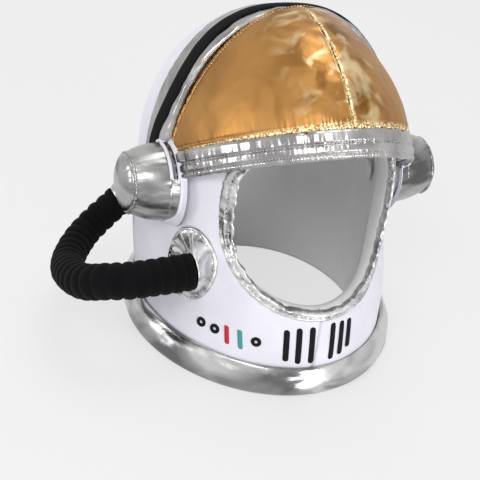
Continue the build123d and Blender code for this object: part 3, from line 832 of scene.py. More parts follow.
@dataclass(frozen=True)
class HoodForm:
    """The hood's outer form: plan sections at heights, and a dome above the ears.

    A section gives height, half width, front, back, place of the widest point, and the roundness at the front,
    the cheek, the side and the back.
    """

    crown_rise: float = 128.0
    fullness: float = 0.92
    dome_start: float = 0.46
    sections: tuple = (
        (0.0, 96.03, 104.004, 101.68, 0.0, 0.54, 0.54, 0.58, 0.58),
        (20.16, 98.01, 108.0, 104.78, 4.96, 0.52, 0.53, 0.58, 0.58),
        (55.44, 99.0, 108.0, 114.08, 14.88, 0.46, 0.53, 0.66, 0.68),
        (89.46, 98.01, 104.976, 122.14, 26.04, 0.38, 0.50, 0.66, 0.68),
        (EAR_HEIGHT, 97.515, 104.004, 124.0, 31.0, 0.38, 0.50, 0.66, 0.68),
    )

    def _slopes(self, at: int) -> list[float]:
        """How fast a section's sizes change with height: not at all where the dome starts."""
        if at == len(self.sections) - 1:
            return [0.0] * (len(self.sections[at]) - 1)
        low, high = self.sections[max(0, at - 1)], self.sections[at + 1]
        return [(b - a) / (high[0] - low[0]) for a, b in zip(low[1:], high[1:])]

    def sizes(self, height: float, grow: float) -> list[float]:
        """Sizes and roundness of the plan section at a height.

        Args:
            height: Height in millimetres.
            grow: Distance outwards from the outer surface.

        Returns:
            Half width, front, back, place of the widest point and four handle shares.
        """
        if height >= EAR_HEIGHT:
            top = self.sections[-1][1:]
            rise = min(1.0, (height - EAR_HEIGHT) / (self.crown_rise + grow))
            share = max(0.0, 1 - rise * rise) ** (self.fullness / 2)
            return [*((size + grow) * share for size in top[:3]), top[3] * share, *top[4:]]
        height = max(0.0, height)
        at = max(i for i in range(len(self.sections) - 1) if self.sections[i][0] <= height)
        low, high = self.sections[at], self.sections[at + 1]
        span = high[0] - low[0]
        t = (height - low[0]) / span
        weights = 2 * t**3 - 3 * t * t + 1, (t**3 - 2 * t * t + t) * span, 3 * t * t - 2 * t**3, (t**3 - t * t) * span
        parts = zip(low[1:], self._slopes(at), high[1:], self._slopes(at + 1))
        mixed = [sum(weight * part for weight, part in zip(weights, four)) for four in parts]
        return [*(size + grow for size in mixed[:3]), *mixed[3:]]

    def _quarters(self, height: float, grow: float) -> tuple[list, list]:
        """The front and the back quarter of a section on the wearer's left."""
        side, front, back, widest, at_front, at_cheek, at_side, at_back = self.sizes(height, grow)
        first = [(0, -front), (at_front * side, -front), (side, widest - at_cheek * (widest + front)), (side, widest)]
        second = [(side, widest), (side, widest + at_side * (back - widest)), (at_back * side, back), (0, back)]
        return first, second

    def around(self, turn: float, height: float, grow: float) -> Vector:
        """A point on the surface.

        Args:
            turn: Share of the way round, from the front by the wearer's left.
            height: Height in millimetres.
            grow: Distance outwards from the outer surface.

        Returns:
            The point in millimetres.
        """
        return Vector((*mirrored_loop(turn, *self._quarters(height, grow)), height))

    def over(self, turn: float, climb: float, grow: float, foot: float = 1.5) -> Vector:
        """A point for a share round and a share from the hem to the crown."""
        split = self.dome_start
        if climb < split:
            return self.around(turn, foot + (EAR_HEIGHT - foot) * climb / split, grow)
        rise = math.sin(math.radians(90 * (climb - split) / (1 - split)))
        return self.around(turn, EAR_HEIGHT + (self.crown_rise + grow) * rise, grow)

    def front(self, x: float, height: float, grow: float) -> Vector:
        """The point of the front at a place across and a height."""
        first, _ = self._quarters(height, grow)
        share = last_share(lambda middle: bezier(first, middle)[0] < abs(x))
        return Vector((x, bezier(first, share)[1], height))

    def tree(self) -> BVHTree:
        """A search tree of the outer surface for placing trims on it."""
        dense = ClothGrid(240, 200, 1, 1).build(lambda u, v: self.over(u, v, 0, 0.0))
        found = BVHTree.FromBMesh(dense)
        dense.free()
        return found


@dataclass(frozen=True)
class VisorForm:
    """The visor's outer form: an outline turned about the ear axis; angles go up from straight ahead."""

    radius: float = 134.0
    half_width: float = 94.0
    crown_share: float = 0.42
    side_share: float = 0.6
    brim_angle: float = 35.4
    rear_angle: float = 98.0
    seam_offset: float = 17.9
    disc_radius: float = 24.6
    pod_seat: float = 25.6
    welt_seat: float = 31.5

    def outline(self, across: float, inset: float) -> tuple[float, float]:
        """Place across and distance from the ear axis.

        Args:
            across: From -1 at the right ear over 0 at the crown to 1 at the left ear.
            inset: Distance inwards from the outer surface.

        Returns:
            x and the radius about the ear axis, in millimetres.
        """
        side, crown = self.half_width - inset, self.radius - inset
        points = ((side, 0), (side, self.side_share * crown), (self.crown_share * side, crown), (0, crown))
        x, reach = bezier(points, 1 - abs(across))
        return math.copysign(x, across) if across else 0.0, reach

    def radius_at(self, x: float, inset: float) -> float:
        """Distance of the surface from the ear axis at a place across."""
        return self.outline(last_share(lambda share: self.outline(share, inset)[0] < abs(x)), inset)[1]

    def end(self, radius: float) -> float:
        """The place across where the outline is a distance from the ear axis."""
        return last_share(lambda share: self.outline(share, 0)[1] > radius)

    @cached_property
    def ear(self) -> float:
        """The place across where the cloth ends at the ear's disc."""
        return self.end(self.disc_radius)

    def point(self, across: float, angle: float, inset: float) -> Vector:
        """A point of the visor at an angle."""
        x, reach = self.outline(across, inset)
        turn = math.radians(angle)
        return Vector((x, -reach * math.cos(turn), EAR_HEIGHT + reach * math.sin(turn)))

    def angle_over_brim(self, across: float, offset: float) -> float:
        """The angle at which the surface is a distance behind the brim's plane."""
        _, reach = self.outline(across, 0)
        return self.brim_angle + math.degrees(math.asin(max(-1.0, min(1.0, offset / reach))))

    def recess(self, point: Vector, depth: float) -> Vector:
        """Pushes a point of the hood in to leave room for the visor.

        Args:
            point: A point of the hood in millimetres.
            depth: How far inside the visor's outer surface the floor lies.

        Returns:
            The point, moved in where the visor passes.
        """
        back, up, side = point.y, point.z - EAR_HEIGHT, abs(point.x)
        reach = math.hypot(back, up)
        angle = math.degrees(math.atan2(up, -back))
        if reach < self.pod_seat:
            side = min(side, self.half_width - 1.17 * depth)
        elif reach < self.welt_seat:
            side = min(side, self.half_width + 2.4)
        open_share = smoothstep(-34, -17, angle) * (1 - smoothstep(99.5, 102, angle))
        if open_share == 0:
            return Vector((math.copysign(side, point.x), back, point.z))
        limit = self.half_width - depth
        if side > limit:
            side += (limit - side) * open_share
        floor = self.radius_at(min(side, limit - 0.01), depth)
        if reach > floor:
            share = 1 + (floor / reach - 1) * open_share
            back, up = back * share, up * share
        return Vector((math.copysign(side, point.x), back, EAR_HEIGHT + up))


@dataclass(frozen=True)
class FaceOutline:
    """The face opening seen from the front."""

    half_width: float = 69.0
    bottom: float = 64.5
    widest: float = 140.0
    top: float = 204.0
    low_share: float = 0.75
    high_share: float = 0.62

    def point(self, turn: float, inset: float) -> tuple[float, float]:
        """A point of the outline, made smaller all round by an inset.

        Args:
            turn: Share of the way round, from the bottom by the wearer's left.
            inset: Distance inwards in millimetres.

        Returns:
            x and z in millimetres.
        """
        side, low, high, middle = self.half_width - inset, self.bottom + inset, self.top - inset, self.widest
        falls, climbs = self.low_share * (middle - low), self.high_share * (high - middle)
        lower = [(0, low), (self.low_share * side, low), (side, middle - falls), (side, middle)]
        upper = [(side, middle), (side, middle + climbs), (self.high_share * side, high), (0, high)]
        return mirrored_loop(turn, lower, upper)

    def holds(self, point: Vector, inset: float) -> bool:
        """True if a point in front of the ears lies inside the outline."""
        if point.y > 0 or not self.bottom + inset < point.z < self.top - inset:
            return False
        turn = last_share(lambda middle: self.point(middle, inset)[1] < point.z, 0.5)
        return abs(point.x) < self.point(turn, inset)[0]


# Camera, lights and floor


@dataclass(frozen=True)
class Studio:
    """The photograph's viewpoint, a pale floor and plain soft light."""

    place: Triple = (-0.3988, -0.7693, 0.5965)
    right: Triple = (0.9129, -0.3762, 0.1586)
    back: Triple = (-0.4044, -0.7802, 0.4772)
    lens: float = 96.1
    shift: tuple[float, float] = (-0.0827, -0.139)
    aim: Triple = (0, 0, 0.13)
    lamps: tuple = (
        ("key", (-1.0, -1.2, 1.5), 0.8, 12.0),
        ("front", (0.5, -1.95, 0.35), 0.8, 16.0),
        ("top", (0.2, 0.4, 1.9), 1.0, 8.0),
        ("side", (-1.8, 0.3, 0.5), 0.5, 6.0),
    )
    pale: Triple = (0.88, 0.88, 0.88)
    sky: Triple = (0.92, 0.93, 0.95)
    sky_strength: float = 0.6
    floor_glow: float = 0.72

    def build(self) -> None:
        """Sets the camera, the lamps, the world and the floor."""
        self._camera()
        self._lamps()
        self._world()
        self._floor()
        bpy.context.scene.view_settings.view_transform = "Standard"

    def _camera(self) -> None:
        """Puts the camera where the photograph was taken."""
        camera = bpy.data.cameras.new("camera")
        camera.lens = self.lens
        camera.sensor_width = 36
        camera.shift_x, camera.shift_y = self.shift
        camera.clip_start = 0.01
        back, right = Vector(self.back).normalized(), Vector(self.right)
        right = (right - back * right.dot(back)).normalized()
        turn = Matrix((right, back.cross(right), back)).transposed().to_4x4()
        thing = show("camera", camera)
        thing.matrix_world = Matrix.Translation(Vector(self.place)) @ turn
        bpy.context.scene.camera = thing

    def _lamps(self) -> None:
        """Hangs large soft lamps round the object."""
        for name, place, size, power in self.lamps:
            lamp = bpy.data.lights.new(name, "AREA")
            lamp.shape = "SQUARE"
            lamp.size = size
            lamp.energy = power
            thing = show(name, lamp)
            thing.location = place
            thing.rotation_euler = (Vector(self.aim) - Vector(place)).to_track_quat("-Z", "Y").to_euler()

    def _world(self) -> None:
        """Gives an even pale surround."""
        tree = ShaderTree(bpy.data.worlds.new("surround"))
        soft = tree.node("ShaderNodeBackground", {}, {0: (*self.sky, 1), 1: self.sky_strength})
        seen = tree.node("ShaderNodeBackground", {}, {0: (*self.pale, 1), 1: 1.0})
        both = tree.node("ShaderNodeMixShader", {}, {0: tree.seen_directly(), 1: soft, 2: seen})
        tree.finish(both, "ShaderNodeOutputWorld")
        bpy.context.scene.world = tree.owner

    def _floor(self) -> None:
        """Lays a pale floor that keeps the object's shadow."""
        tree = ShaderTree(bpy.data.materials.new("pale_floor"))
        grain = tree.noise(tree.coords(), 30, 2)
        tone = tree.mix(grain, tuple(0.985 * part for part in self.pale), self.pale)
        cloth = tree.node("ShaderNodeBsdfDiffuse", {}, {"Color": tone})
        glow = tree.node("ShaderNodeEmission", {}, {"Color": (*self.pale, 1), "Strength": 1.0})
        share = tree.seen_directly() * self.floor_glow
        tree.finish(tree.node("ShaderNodeMixShader", {}, {0: share, 1: cloth, 2: glow}))
        floor = bmesh.new()
        bmesh.ops.create_grid(floor, x_segments=4, y_segments=4, size=4)
        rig.stage(show("floor", to_data("floor", floor, tree.owner)))


# Sub-assemblies


@dataclass
class Part:
    """A sub-assembly on one rigid body, with what makes its pieces and what they are made of."""

    maker: Maker
    wardrobe: Wardrobe
    body: ClassVar[Body] = Body.SHELL

    def add(self, name: str, mesh: Mesh, look: Look, *also: str, **how: object) -> bpy.types.Object:
        """Adds a piece that rides on the sub-assembly's body; the rest is as in Maker.piece."""
        return self.maker.piece(name, mesh, look, self.body, also, **how)

    def sew(self, name: str, row: StitchRow, line: Sequence[tuple[Vector, Vector]], look: Look) -> None:
        """Adds a row of stitches."""
        self.add(name + "_stitches", row.build(line), look)


@dataclass
class Hose(Part):
    """The ribbed hose from the cheek to behind the ear; its route is in metres."""

    ribs: int = 26
    start_radius: float = 14.0
    end_radius: float = 12.2
    rib_depth: float = 1.5
    rib_roundness: float = 0.55
    tucked: float = 0.008
    tuck_depth: float = 1.2
    girth: float = 82.0
    thread_radius: float = 0.22
    thread_lift: float = 0.1
    nap: Folds = Folds(0.28, 9, 3.0, 3)
    route: tuple = (
        (-0.0848, -0.0556, 0.0812),
        (-0.1074, -0.0571, 0.0804),
        (-0.1319, -0.0587, 0.0800),
        (-0.1487, -0.0508, 0.0760),
        (-0.1581, -0.0358, 0.0654),
        (-0.1610, -0.0079, 0.0541),
        (-0.1555, 0.0226, 0.0434),
        (-0.1403, 0.0495, 0.0450),
        (-0.1210, 0.0620, 0.0570),
        (-0.1035, 0.0607, 0.0752),
    )
    line: list[Vector] = field(default_factory=list)
    frames: list[tuple] = field(default_factory=list)

    def lay(self) -> None:
        """Reads the hose's smooth line from its control points."""
        curve = bpy.data.curves.new("hose_line", "CURVE")
        curve.dimensions = "3D"
        curve.resolution_u = 24
        spline = curve.splines.new("NURBS")
        spline.points.add(len(self.route) - 1)
        for point, place in zip(spline.points, self.route):
            point.co = (*place, 1)
        spline.order_u = 3
        spline.use_endpoint_u = True
        thing = bpy.data.objects.new("hose_line", curve)
        mesh = bpy.data.meshes.new_from_object(thing)
        self.line = [vertex.co.copy() for vertex in mesh.vertices]
        bpy.data.meshes.remove(mesh)
        bpy.data.objects.remove(thing)
        bpy.data.curves.remove(curve)

    def length(self) -> float:
        """Length of the line in metres."""
        return sum((b - a).length for a, b in zip(self.line, self.line[1:]))

    def _carry_frames(self) -> None:
        """Notes distance along, point and two directions across, carried without twist, in millimetres."""
        walked = 0.0
        side = Vector((0, 0, 1))
        for index, here in enumerate(self.line):
            before, after = self.line[max(0, index - 1)], self.line[min(len(self.line) - 1, index + 1)]
            way = (after - before).normalized()
            side = (side - way * side.dot(way)).normalized()
            if index:
                walked += (here - self.line[index - 1]).length
            self.frames.append((walked / MM, here / MM, side.copy(), way.cross(side)))

    def _station(self, share: float) -> tuple[float, Vector, Vector, Vector, Vector]:
        """Mean radius, middle, two directions across and the way on, at a share of the length."""
        along = share * self.frames[-1][0]
        after = (i for i, entry in enumerate(self.frames) if entry[0] >= along - 1e-6)
        index = max(1, next(after, len(self.frames) - 1))
        low, high = self.frames[index - 1], self.frames[index]
        part = (along - low[0]) / max(1e-9, high[0] - low[0])
        radius = self.start_radius + share * (self.end_radius - self.start_radius)
        mixed = (a.lerp(b, part) for a, b in zip(low[1:], high[1:]))
        return radius, *mixed, (high[1] - low[1]).normalized()

    def _skin(self, u: float, v: float) -> Vector:
        """A point of the tube's skin."""
        radius, middle, side, other, _ = self._station(v)
        crest = abs(math.sin(math.pi * (v * self.ribs % 1.0))) ** self.rib_roundness
        out = side * math.cos(TURN * u) + other * math.sin(TURN * u)
        radius += self.nap.at(middle + self.start_radius * out) - self.rib_depth * (1 - crest)
        if v < self.tucked or v > 1 - self.tucked:
            radius -= self.tuck_depth
        return middle + out * radius

    def build(self) -> None:
        self._carry_frames()
        tube = close_ends(ClothGrid(44, self.ribs * 10, self.girth, self.frames[-1][0]).build(self._skin))
        piece = self.add("hose", tube, self.wardrobe.velvet, "hose_cover", "hose_core")
        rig.cord(
            piece,
            exit=self.line[0],
            length=self.length(),
            diameter=0.0265,
            far_end="object",
            stiffness="stiff",
            lay="hanging",
            path=self.line,
        )
        self._rib_threads()

    def _rib_threads(self) -> None:
        """Lays a faint thread in each valley of the ribs."""
        threads = bmesh.new()
        for rib in range(1, self.ribs):
            radius, middle, _, _, way = self._station(rib / self.ribs)
            ring = bmesh.ops.create_circle(threads, segments=40, radius=self.thread_radius)["verts"]
            out = Matrix.Translation(Vector((radius - self.rib_depth + self.thread_lift, 0, 0)))
            bmesh.ops.transform(threads, matrix=out @ Matrix.Rotation(math.pi / 2, 4, "X"), verts=ring)
            edges = list(dict.fromkeys(edge for vert in ring for edge in vert.link_edges))
            bmesh.ops.spin(
                threads, geom=ring + edges, axis=(0, 0, 1), cent=(0, 0, 0), angle=TURN, steps=48, use_merge=True
            )
            fresh = [vert for vert in threads.verts if not vert.tag]
            turn = way.to_track_quat("Z", "Y").to_matrix().to_4x4()
            bmesh.ops.transform(threads, matrix=Matrix.Translation(middle) @ turn, verts=fresh)
            for vert in fresh:
                vert.tag = True
        self.add("hose_rib_threads", threads, self.wardrobe.ribbon)


@dataclass
class Boss(Part):
    """A silver cone of gathered cloth, on a narrow, leaning rim, that carries one end of the hose."""

    tree: BVHTree
    name: str
    foot: Triple
    facing: Triple
    rim_radius: float
    seat: Vector
    outward: Vector
    seat_radius: float
    pleats: int
    width_share: float = 0.80
    tilt: float = -18.0
    reach: float = 40.0
    rim_share: float = 0.08
    flare: float = 1.25
    roll: float = 0.16
    roll_height: float = 1.5
    pleat_height: float = 0.6
    stitch_inset: float = 2.4
    stitch_lift: float = 1.9
    rim: StitchRow = StitchRow(2.4, 0.8, 3.4)

    def build(self) -> None:
        """Makes the cone and its stitched rim."""
        foot, facing, out = Vector(self.foot), Vector(self.facing).normalized(), self.outward.normalized()
        side = facing.cross(Vector((0, 0, 1))).normalized()
        other = side.cross(facing)
        lean = math.radians(self.tilt)
        short, long = side * math.cos(lean) + other * math.sin(lean), other * math.cos(lean) - side * math.sin(lean)
        top_side = (side - out * side.dot(out)).normalized()
        top_other = top_side.cross(out)

        def ground(turn: float, radius: float) -> Vector:
            """A point on the hood under a place of the foot."""
            across = short * math.cos(turn) * self.width_share + long * math.sin(turn)
            start = foot + facing * self.reach + across * radius
            hit, _, _, _ = self.tree.ray_cast(start, -facing)
            return hit if hit is not None else start - facing * self.reach

        def place(u: float, v: float) -> Vector:
            """A point of the cone's skin from the rim in to the hose."""
            turn = TURN * u
            climb = smoothstep(self.rim_share, 1.0, v) ** self.flare
            radius = self.rim_radius + v * (self.seat_radius - self.rim_radius)
            high = self.seat + (top_side * math.cos(turn) + top_other * math.sin(turn)) * radius
            puff = 0.3 + self.roll_height * math.sin(math.pi * min(1.0, v / self.roll)) * (v < self.roll)
            puff += 0.6 * smoothstep(0.0, 0.1, v)
            pleat = math.sin(self.pleats * turn + 2.2 * ripple(turn * 1.7, 4.0)) + 1.4 * ripple(turn * 5.1, 8.0)
            calm = 0.35 + 0.65 * smoothstep(-0.4, 0.8, math.sin(turn + 0.9))
            puff += self.pleat_height * calm * pleat * math.sin(math.pi * min(1.0, v * 1.05)) ** 0.8
            return ground(turn, radius).lerp(high, climb) + facing.lerp(out, climb).normalized() * puff

        cone = ClothGrid(150, 34, TURN * self.rim_radius, 20).build(place)
        # The cone takes the binding's brighter silver, with its painted highlight.
        self.add(self.name, cone, self.wardrobe.binding, away_from=HOOD_MIDDLE, wall=0.8, fill=0.4)
        sewn = self.rim_radius - self.stitch_inset
        line = [(ground(TURN * i / 300, sewn) + facing * self.stitch_lift, facing) for i in range(301)]
        self.sew(self.name, self.rim, line, self.wardrobe.silver_thread)


@dataclass
class Hood(Part):
    """White cover in two halves, and lining, of the hood."""

    form: HoodForm
    visor: VisorForm
    face: FaceOutline
    opening_inset: float = 3.2
    visor_room: float = 5.9
    lining_depth: float = 13.4
    hem_share: float = 0.06
    hem_height: float = 1.3
    seam_depth: float = 0.9
    seam_width: float = 1.4
    dips: Folds = Folds(0.55, 46, 5.0)
    lining_folds: Folds = Folds(0.7, 38, 9.0, 3)

    def build(self) -> None:
        """Makes the cover in two halves and the lining."""
        self._cover("cover_right", RIGHT, *(node for node in frame["nodes"] if node.startswith("foam_")))
        self._cover("cover_left", LEFT)
        self._lining()

    def _open_face(self, mesh: Mesh) -> Mesh:
        """Takes out the faces inside the face opening."""
        gone = [face for face in mesh.faces if self.face.holds(face.calc_center_median(), self.opening_inset)]
        bmesh.ops.delete(mesh, geom=gone, context="FACES")
        return mesh

    def _cover(self, name: str, side: int, *foam: str) -> None:
        """One half of the white cover, with a shallow seam along the middle."""

        def place(u: float, v: float) -> Vector:
            """A point of the cover, from the front to the back by one side."""
            point = self.form.over(0.5 * u if side == LEFT else 1 - 0.5 * u, v, 0)
            inward = Vector((point.x, point.y * 0.9, max(0.0, point.z - EAR_HEIGHT))).normalized()
            push = min(0.0, self.dips.at(point)) - self.seam_depth * ridge(point.x, 0, self.seam_width)
            return self.visor.recess(point + inward * push, self.visor_room)

        half = self._open_face(ClothGrid(120, 130, 320, 330).build(place))
        self.add(name, half, self.wardrobe.velour, *foam, away_from=HOOD_MIDDLE, wall=0.9, fill=0.6)

    def _lining(self) -> None:
        """The lining, turned under at the hem."""
        hem, hem_height = self.hem_share, self.hem_height

        def place(u: float, v: float) -> Vector:
            """A point of the lining, from the hem in and up to the crown."""
            if v < hem:
                return self.form.around(u, hem_height, -1.2 - 12.2 * v / hem)
            point = self.form.over(u, (v - hem) / (1 - hem), -self.lining_depth, hem_height)
            inward = Vector((point.x, point.y, 0)).normalized()
            return point - inward * max(0.0, self.lining_folds.at(point))

        mesh = self._open_face(ClothGrid(180, 120, 540, 330).build(place))
        lining = self.add(
            "lining", mesh, self.wardrobe.lining, "shell_lining", away_from=HOOD_MIDDLE,
            cut=Cut(0.62, 0.33, 0.123, "stretched", ("cover_right", "cover_left")),
        )
        lining.data.flip_normals()


@dataclass
class FaceBinding(Part):
    """The padded silver edge round the face opening; its section is of inset and height."""

    form: HoodForm
    face: FaceOutline
    girth: float = 400.0
    section: tuple = (
        (-0.9, 0.0), (0.2, 1.5), (1.5, 1.6), (2.4, 0.3), (3.4, 1.7), (4.9, 2.3),
        (6.1, 1.2), (6.8, -1.4), (6.1, -4.0), (4.0, -5.0), (1.5, -4.4), (0.2, -2.2),
    )
    inner_waves: tuple = (Waves(1.3, 4.2, 2.0), Waves(0.91, 11.0, 6.0))
    top_waves: Waves = Waves(1.0, 5.0, 12.0)
    row_waves: Waves = Waves(0.5, 2.6, 19.0)
    outer_waves: Waves = Waves(0.4, 3.2, 17.0)
    reveal_waves: Waves = Waves(0.5, 9.0, 24.0)
    stitch: StitchRow = StitchRow(2.2, 0.75, 3.3)
    stitch_inset: float = 2.3
    stitch_lift: float = 1.15
    steps: int = 800

    def build(self) -> None:
        """Makes the binding, its row of stitches and the cloth behind it."""

        def place(u: float, v: float) -> Vector:
            """A point of the binding's skin."""
            inset, height = closed_curve(self.section, v)
            run = u * self.girth
            inner = smoothstep(2.8, 6.2, inset)
            inset += inner * sum(waves.at(run) for waves in self.inner_waves)
            height += smoothstep(1.0, 4.5, inset) * self.top_waves.at(run) * (height > -3)
            height += ridge(inset, self.stitch_inset, 1.4) * self.row_waves.at(run)
            inset += (1 - inner) * self.outer_waves.at(run)
            x, z = self.face.point(u, inset)
            return self.form.front(x, z, height)

        band = ClothGrid(440, 44, self.girth, 45).build(place)
        # The binding takes a brighter copy of the silver: painted highlight for its glare.
        self.add("face_binding", band, self.wardrobe.binding, fill=0.5)
        line = []
        for step in range(self.steps + 1):
            x, z = self.face.point(step / self.steps, self.stitch_inset)
            here = self.form.front(x, z, self.stitch_lift)
            line.append((here, Vector((x * 0.9, here.y, (z - EAR_HEIGHT) * 0.35)).normalized()))
        self.sew("face_binding", self.stitch, line, self.wardrobe.silver_thread)
        self._reveal()

    def _reveal(self) -> None:
        """The white cloth that lines the thickness of the wall round the opening."""

        def place(u: float, v: float) -> Vector:
            """A point of the cloth, from behind the binding in to the lining."""
            bulge = math.sin(math.pi * v) * (1.0 + self.reveal_waves.at(u * self.girth))
            x, z = self.face.point(u, 5.6 - 3.0 * v * v + bulge)
            return Vector((x, self.form.front(x, z, -3.4 - 11.4 * v).y, z))

        cloth = ClothGrid(300, 12, self.girth, 13).build(place)
        middle = Vector((0, -90, 134))
        reveal = self.add("face_reveal", cloth, self.wardrobe.lining, away_from=middle, wall=0.8, fill=0.5)
        reveal.data.flip_normals()


@dataclass
class NeckRoll(Part):
    """The silver padded roll round the lower edge; its section is of bulge and height."""

    form: HoodForm
    section: tuple = (
        (0.3, 21.8), (2.6, 22.8), (4.9, 20.2), (7.7, 15.6), (10.0, 10.0), (10.9, 5.0),
        (9.8, 1.2), (7.0, 0.25), (3.4, 0.2), (0.5, 0.3), (0.25, 6.0), (0.2, 14.0),
    )
    broad_folds: Folds = Folds(1.0, 34, 21.0)
    creases: Folds = Folds(0.5, 22, 27.0)
    puff: float = 1.1
    sway: float = 0.5

    def build(self) -> None:
        """Makes the roll as one closed tube of cloth."""

        def place(u: float, v: float) -> Vector:
            """A point of the roll's skin."""
            bulge, height = closed_curve(self.section, v)
            base = self.form.around(u, max(0.0, height), 0)
            loose = smoothstep(1.5, 6.0, bulge) * smoothstep(0.4, 4.0, height)
            soft = self.broad_folds.at(Vector((base.x, base.y, 2.2 * height)))
            crease = self.creases.at(Vector((base.x, base.y, 2.4 * height)))
            bulge += loose * (self.puff * soft - abs(crease))
            height = max(0.15, height + loose * self.sway * soft)
            return self.form.around(u, height, max(0.25, bulge))

        roll = ClothGrid(420, 48, 620, 60).build(place)
        # The roll takes the brighter silver with painted bright and dark reflection bands.
        self.add("neck_roll", roll, self.wardrobe.broad, "neck_ring_cover", "neck_ring_core", fill=0.7)


@dataclass
class CrownBand(Part):
    """The silver band behind the visor and the ribbon along its middle."""

    tree: BVHTree
    rear_angle: float = 98.0
    start: float = 0.2
    width: float = 34.2
    ribbon_offset: float = 9.4
    ribbon_width: float = 14.0
    foot_angle: float = 9.0
    middle: Triple = (0, 10, EAR_HEIGHT)
    edge_waves: Waves = Waves(0.9, 4.5, 31.0)
    dents: Folds = Folds(0.9, 19, 33.0)
    turned_share: float = 0.03
    turned_down: tuple[float, float] = (5.2, 1.2)
    lift: float = 1.3
    ribbon_lift: float = 2.5

    def _on_hood(self, turn: float, back: float, lift: float) -> Vector:
        """A point over the hood.

        Args:
            turn: Angle round the crown from the wearer's left ear.
            back: Distance behind the visor's rear plane.
            lift: Height over the cover.

        Returns:
            The point in millimetres.
        """
        plane = math.radians(self.rear_angle)
        behind = Vector((0, math.sin(plane), math.cos(plane)))
        up = Vector((0, -math.cos(plane), math.sin(plane)))
        origin = Vector((0, 0, EAR_HEIGHT)) + behind * back
        way = Vector((math.cos(turn), 0, 0)) + up * math.sin(turn)
        hit, _, _, _ = self.tree.ray_cast(origin + way * 200, -way)
        return origin + way * 95 if hit is None else hit + way * lift

    def build(self) -> None:
        """Makes the band and the ribbon."""
        low, high = math.radians(self.foot_angle), math.radians(180 - self.foot_angle)
        middle = Vector(self.middle)

        def band(u: float, v: float) -> Vector:
            """A point of the band, with its edges turned down."""
            turn = low + (high - low) * u
            edge = self.turned_share
            flat = edge < v < 1 - edge
            front, rear = self.turned_down
            lift = self.lift - front * (1 - smoothstep(0.0, edge, v)) - rear * smoothstep(1 - edge, 1.0, v)
            near = math.exp(-v * self.width / 3.5) + math.exp(-(1 - v) * self.width / 3.5)
            lift += near * self.edge_waves.at(turn * 110) * flat
            point = self._on_hood(turn, self.start + self.width * v, lift)
            return point + (point - middle).normalized() * self.dents.at(point) * flat

        def ribbon(u: float, v: float) -> Vector:
            """A point of the ribbon, which wanders off the band's middle near its ends."""
            turn = low + 0.02 + (high - low - 0.04) * u
            side = abs(math.degrees(turn) - 90)
            wander = 0.8 * ripple(turn * 2.2, 41.0) + 3.5 * ridge(side, 78, 14) - 4.5 * ridge(side, 50, 17)
            wander += (2 * v - 1) * 0.7 * ripple(turn * 9.0, 43.0) + 0.5 * ripple(turn * 7.0, 45.0)
            lift = self.ribbon_lift - 0.9 * abs(2 * v - 1) ** 4
            return self._on_hood(turn, self.start + self.ribbon_offset + wander + self.ribbon_width * v, lift)

        silver = ClothGrid(300, 34, 330, 34).build(band)
        self.add(
            "crown_band", silver, self.wardrobe.satin, away_from=middle, wall=0.5,
            cut=Cut(0.036, 0.365, 0.0131, "stretched", ("cover_right", "cover_left")),
        )
        black = ClothGrid(220, 8, 320, 10).build(ribbon)
        self.add(
            "crown_ribbon", black, self.wardrobe.ribbon, away_from=middle, wall=0.5,
            cut=Cut(0.012, 0.35, 0.0042, "laid", ("crown_band",)),
        )


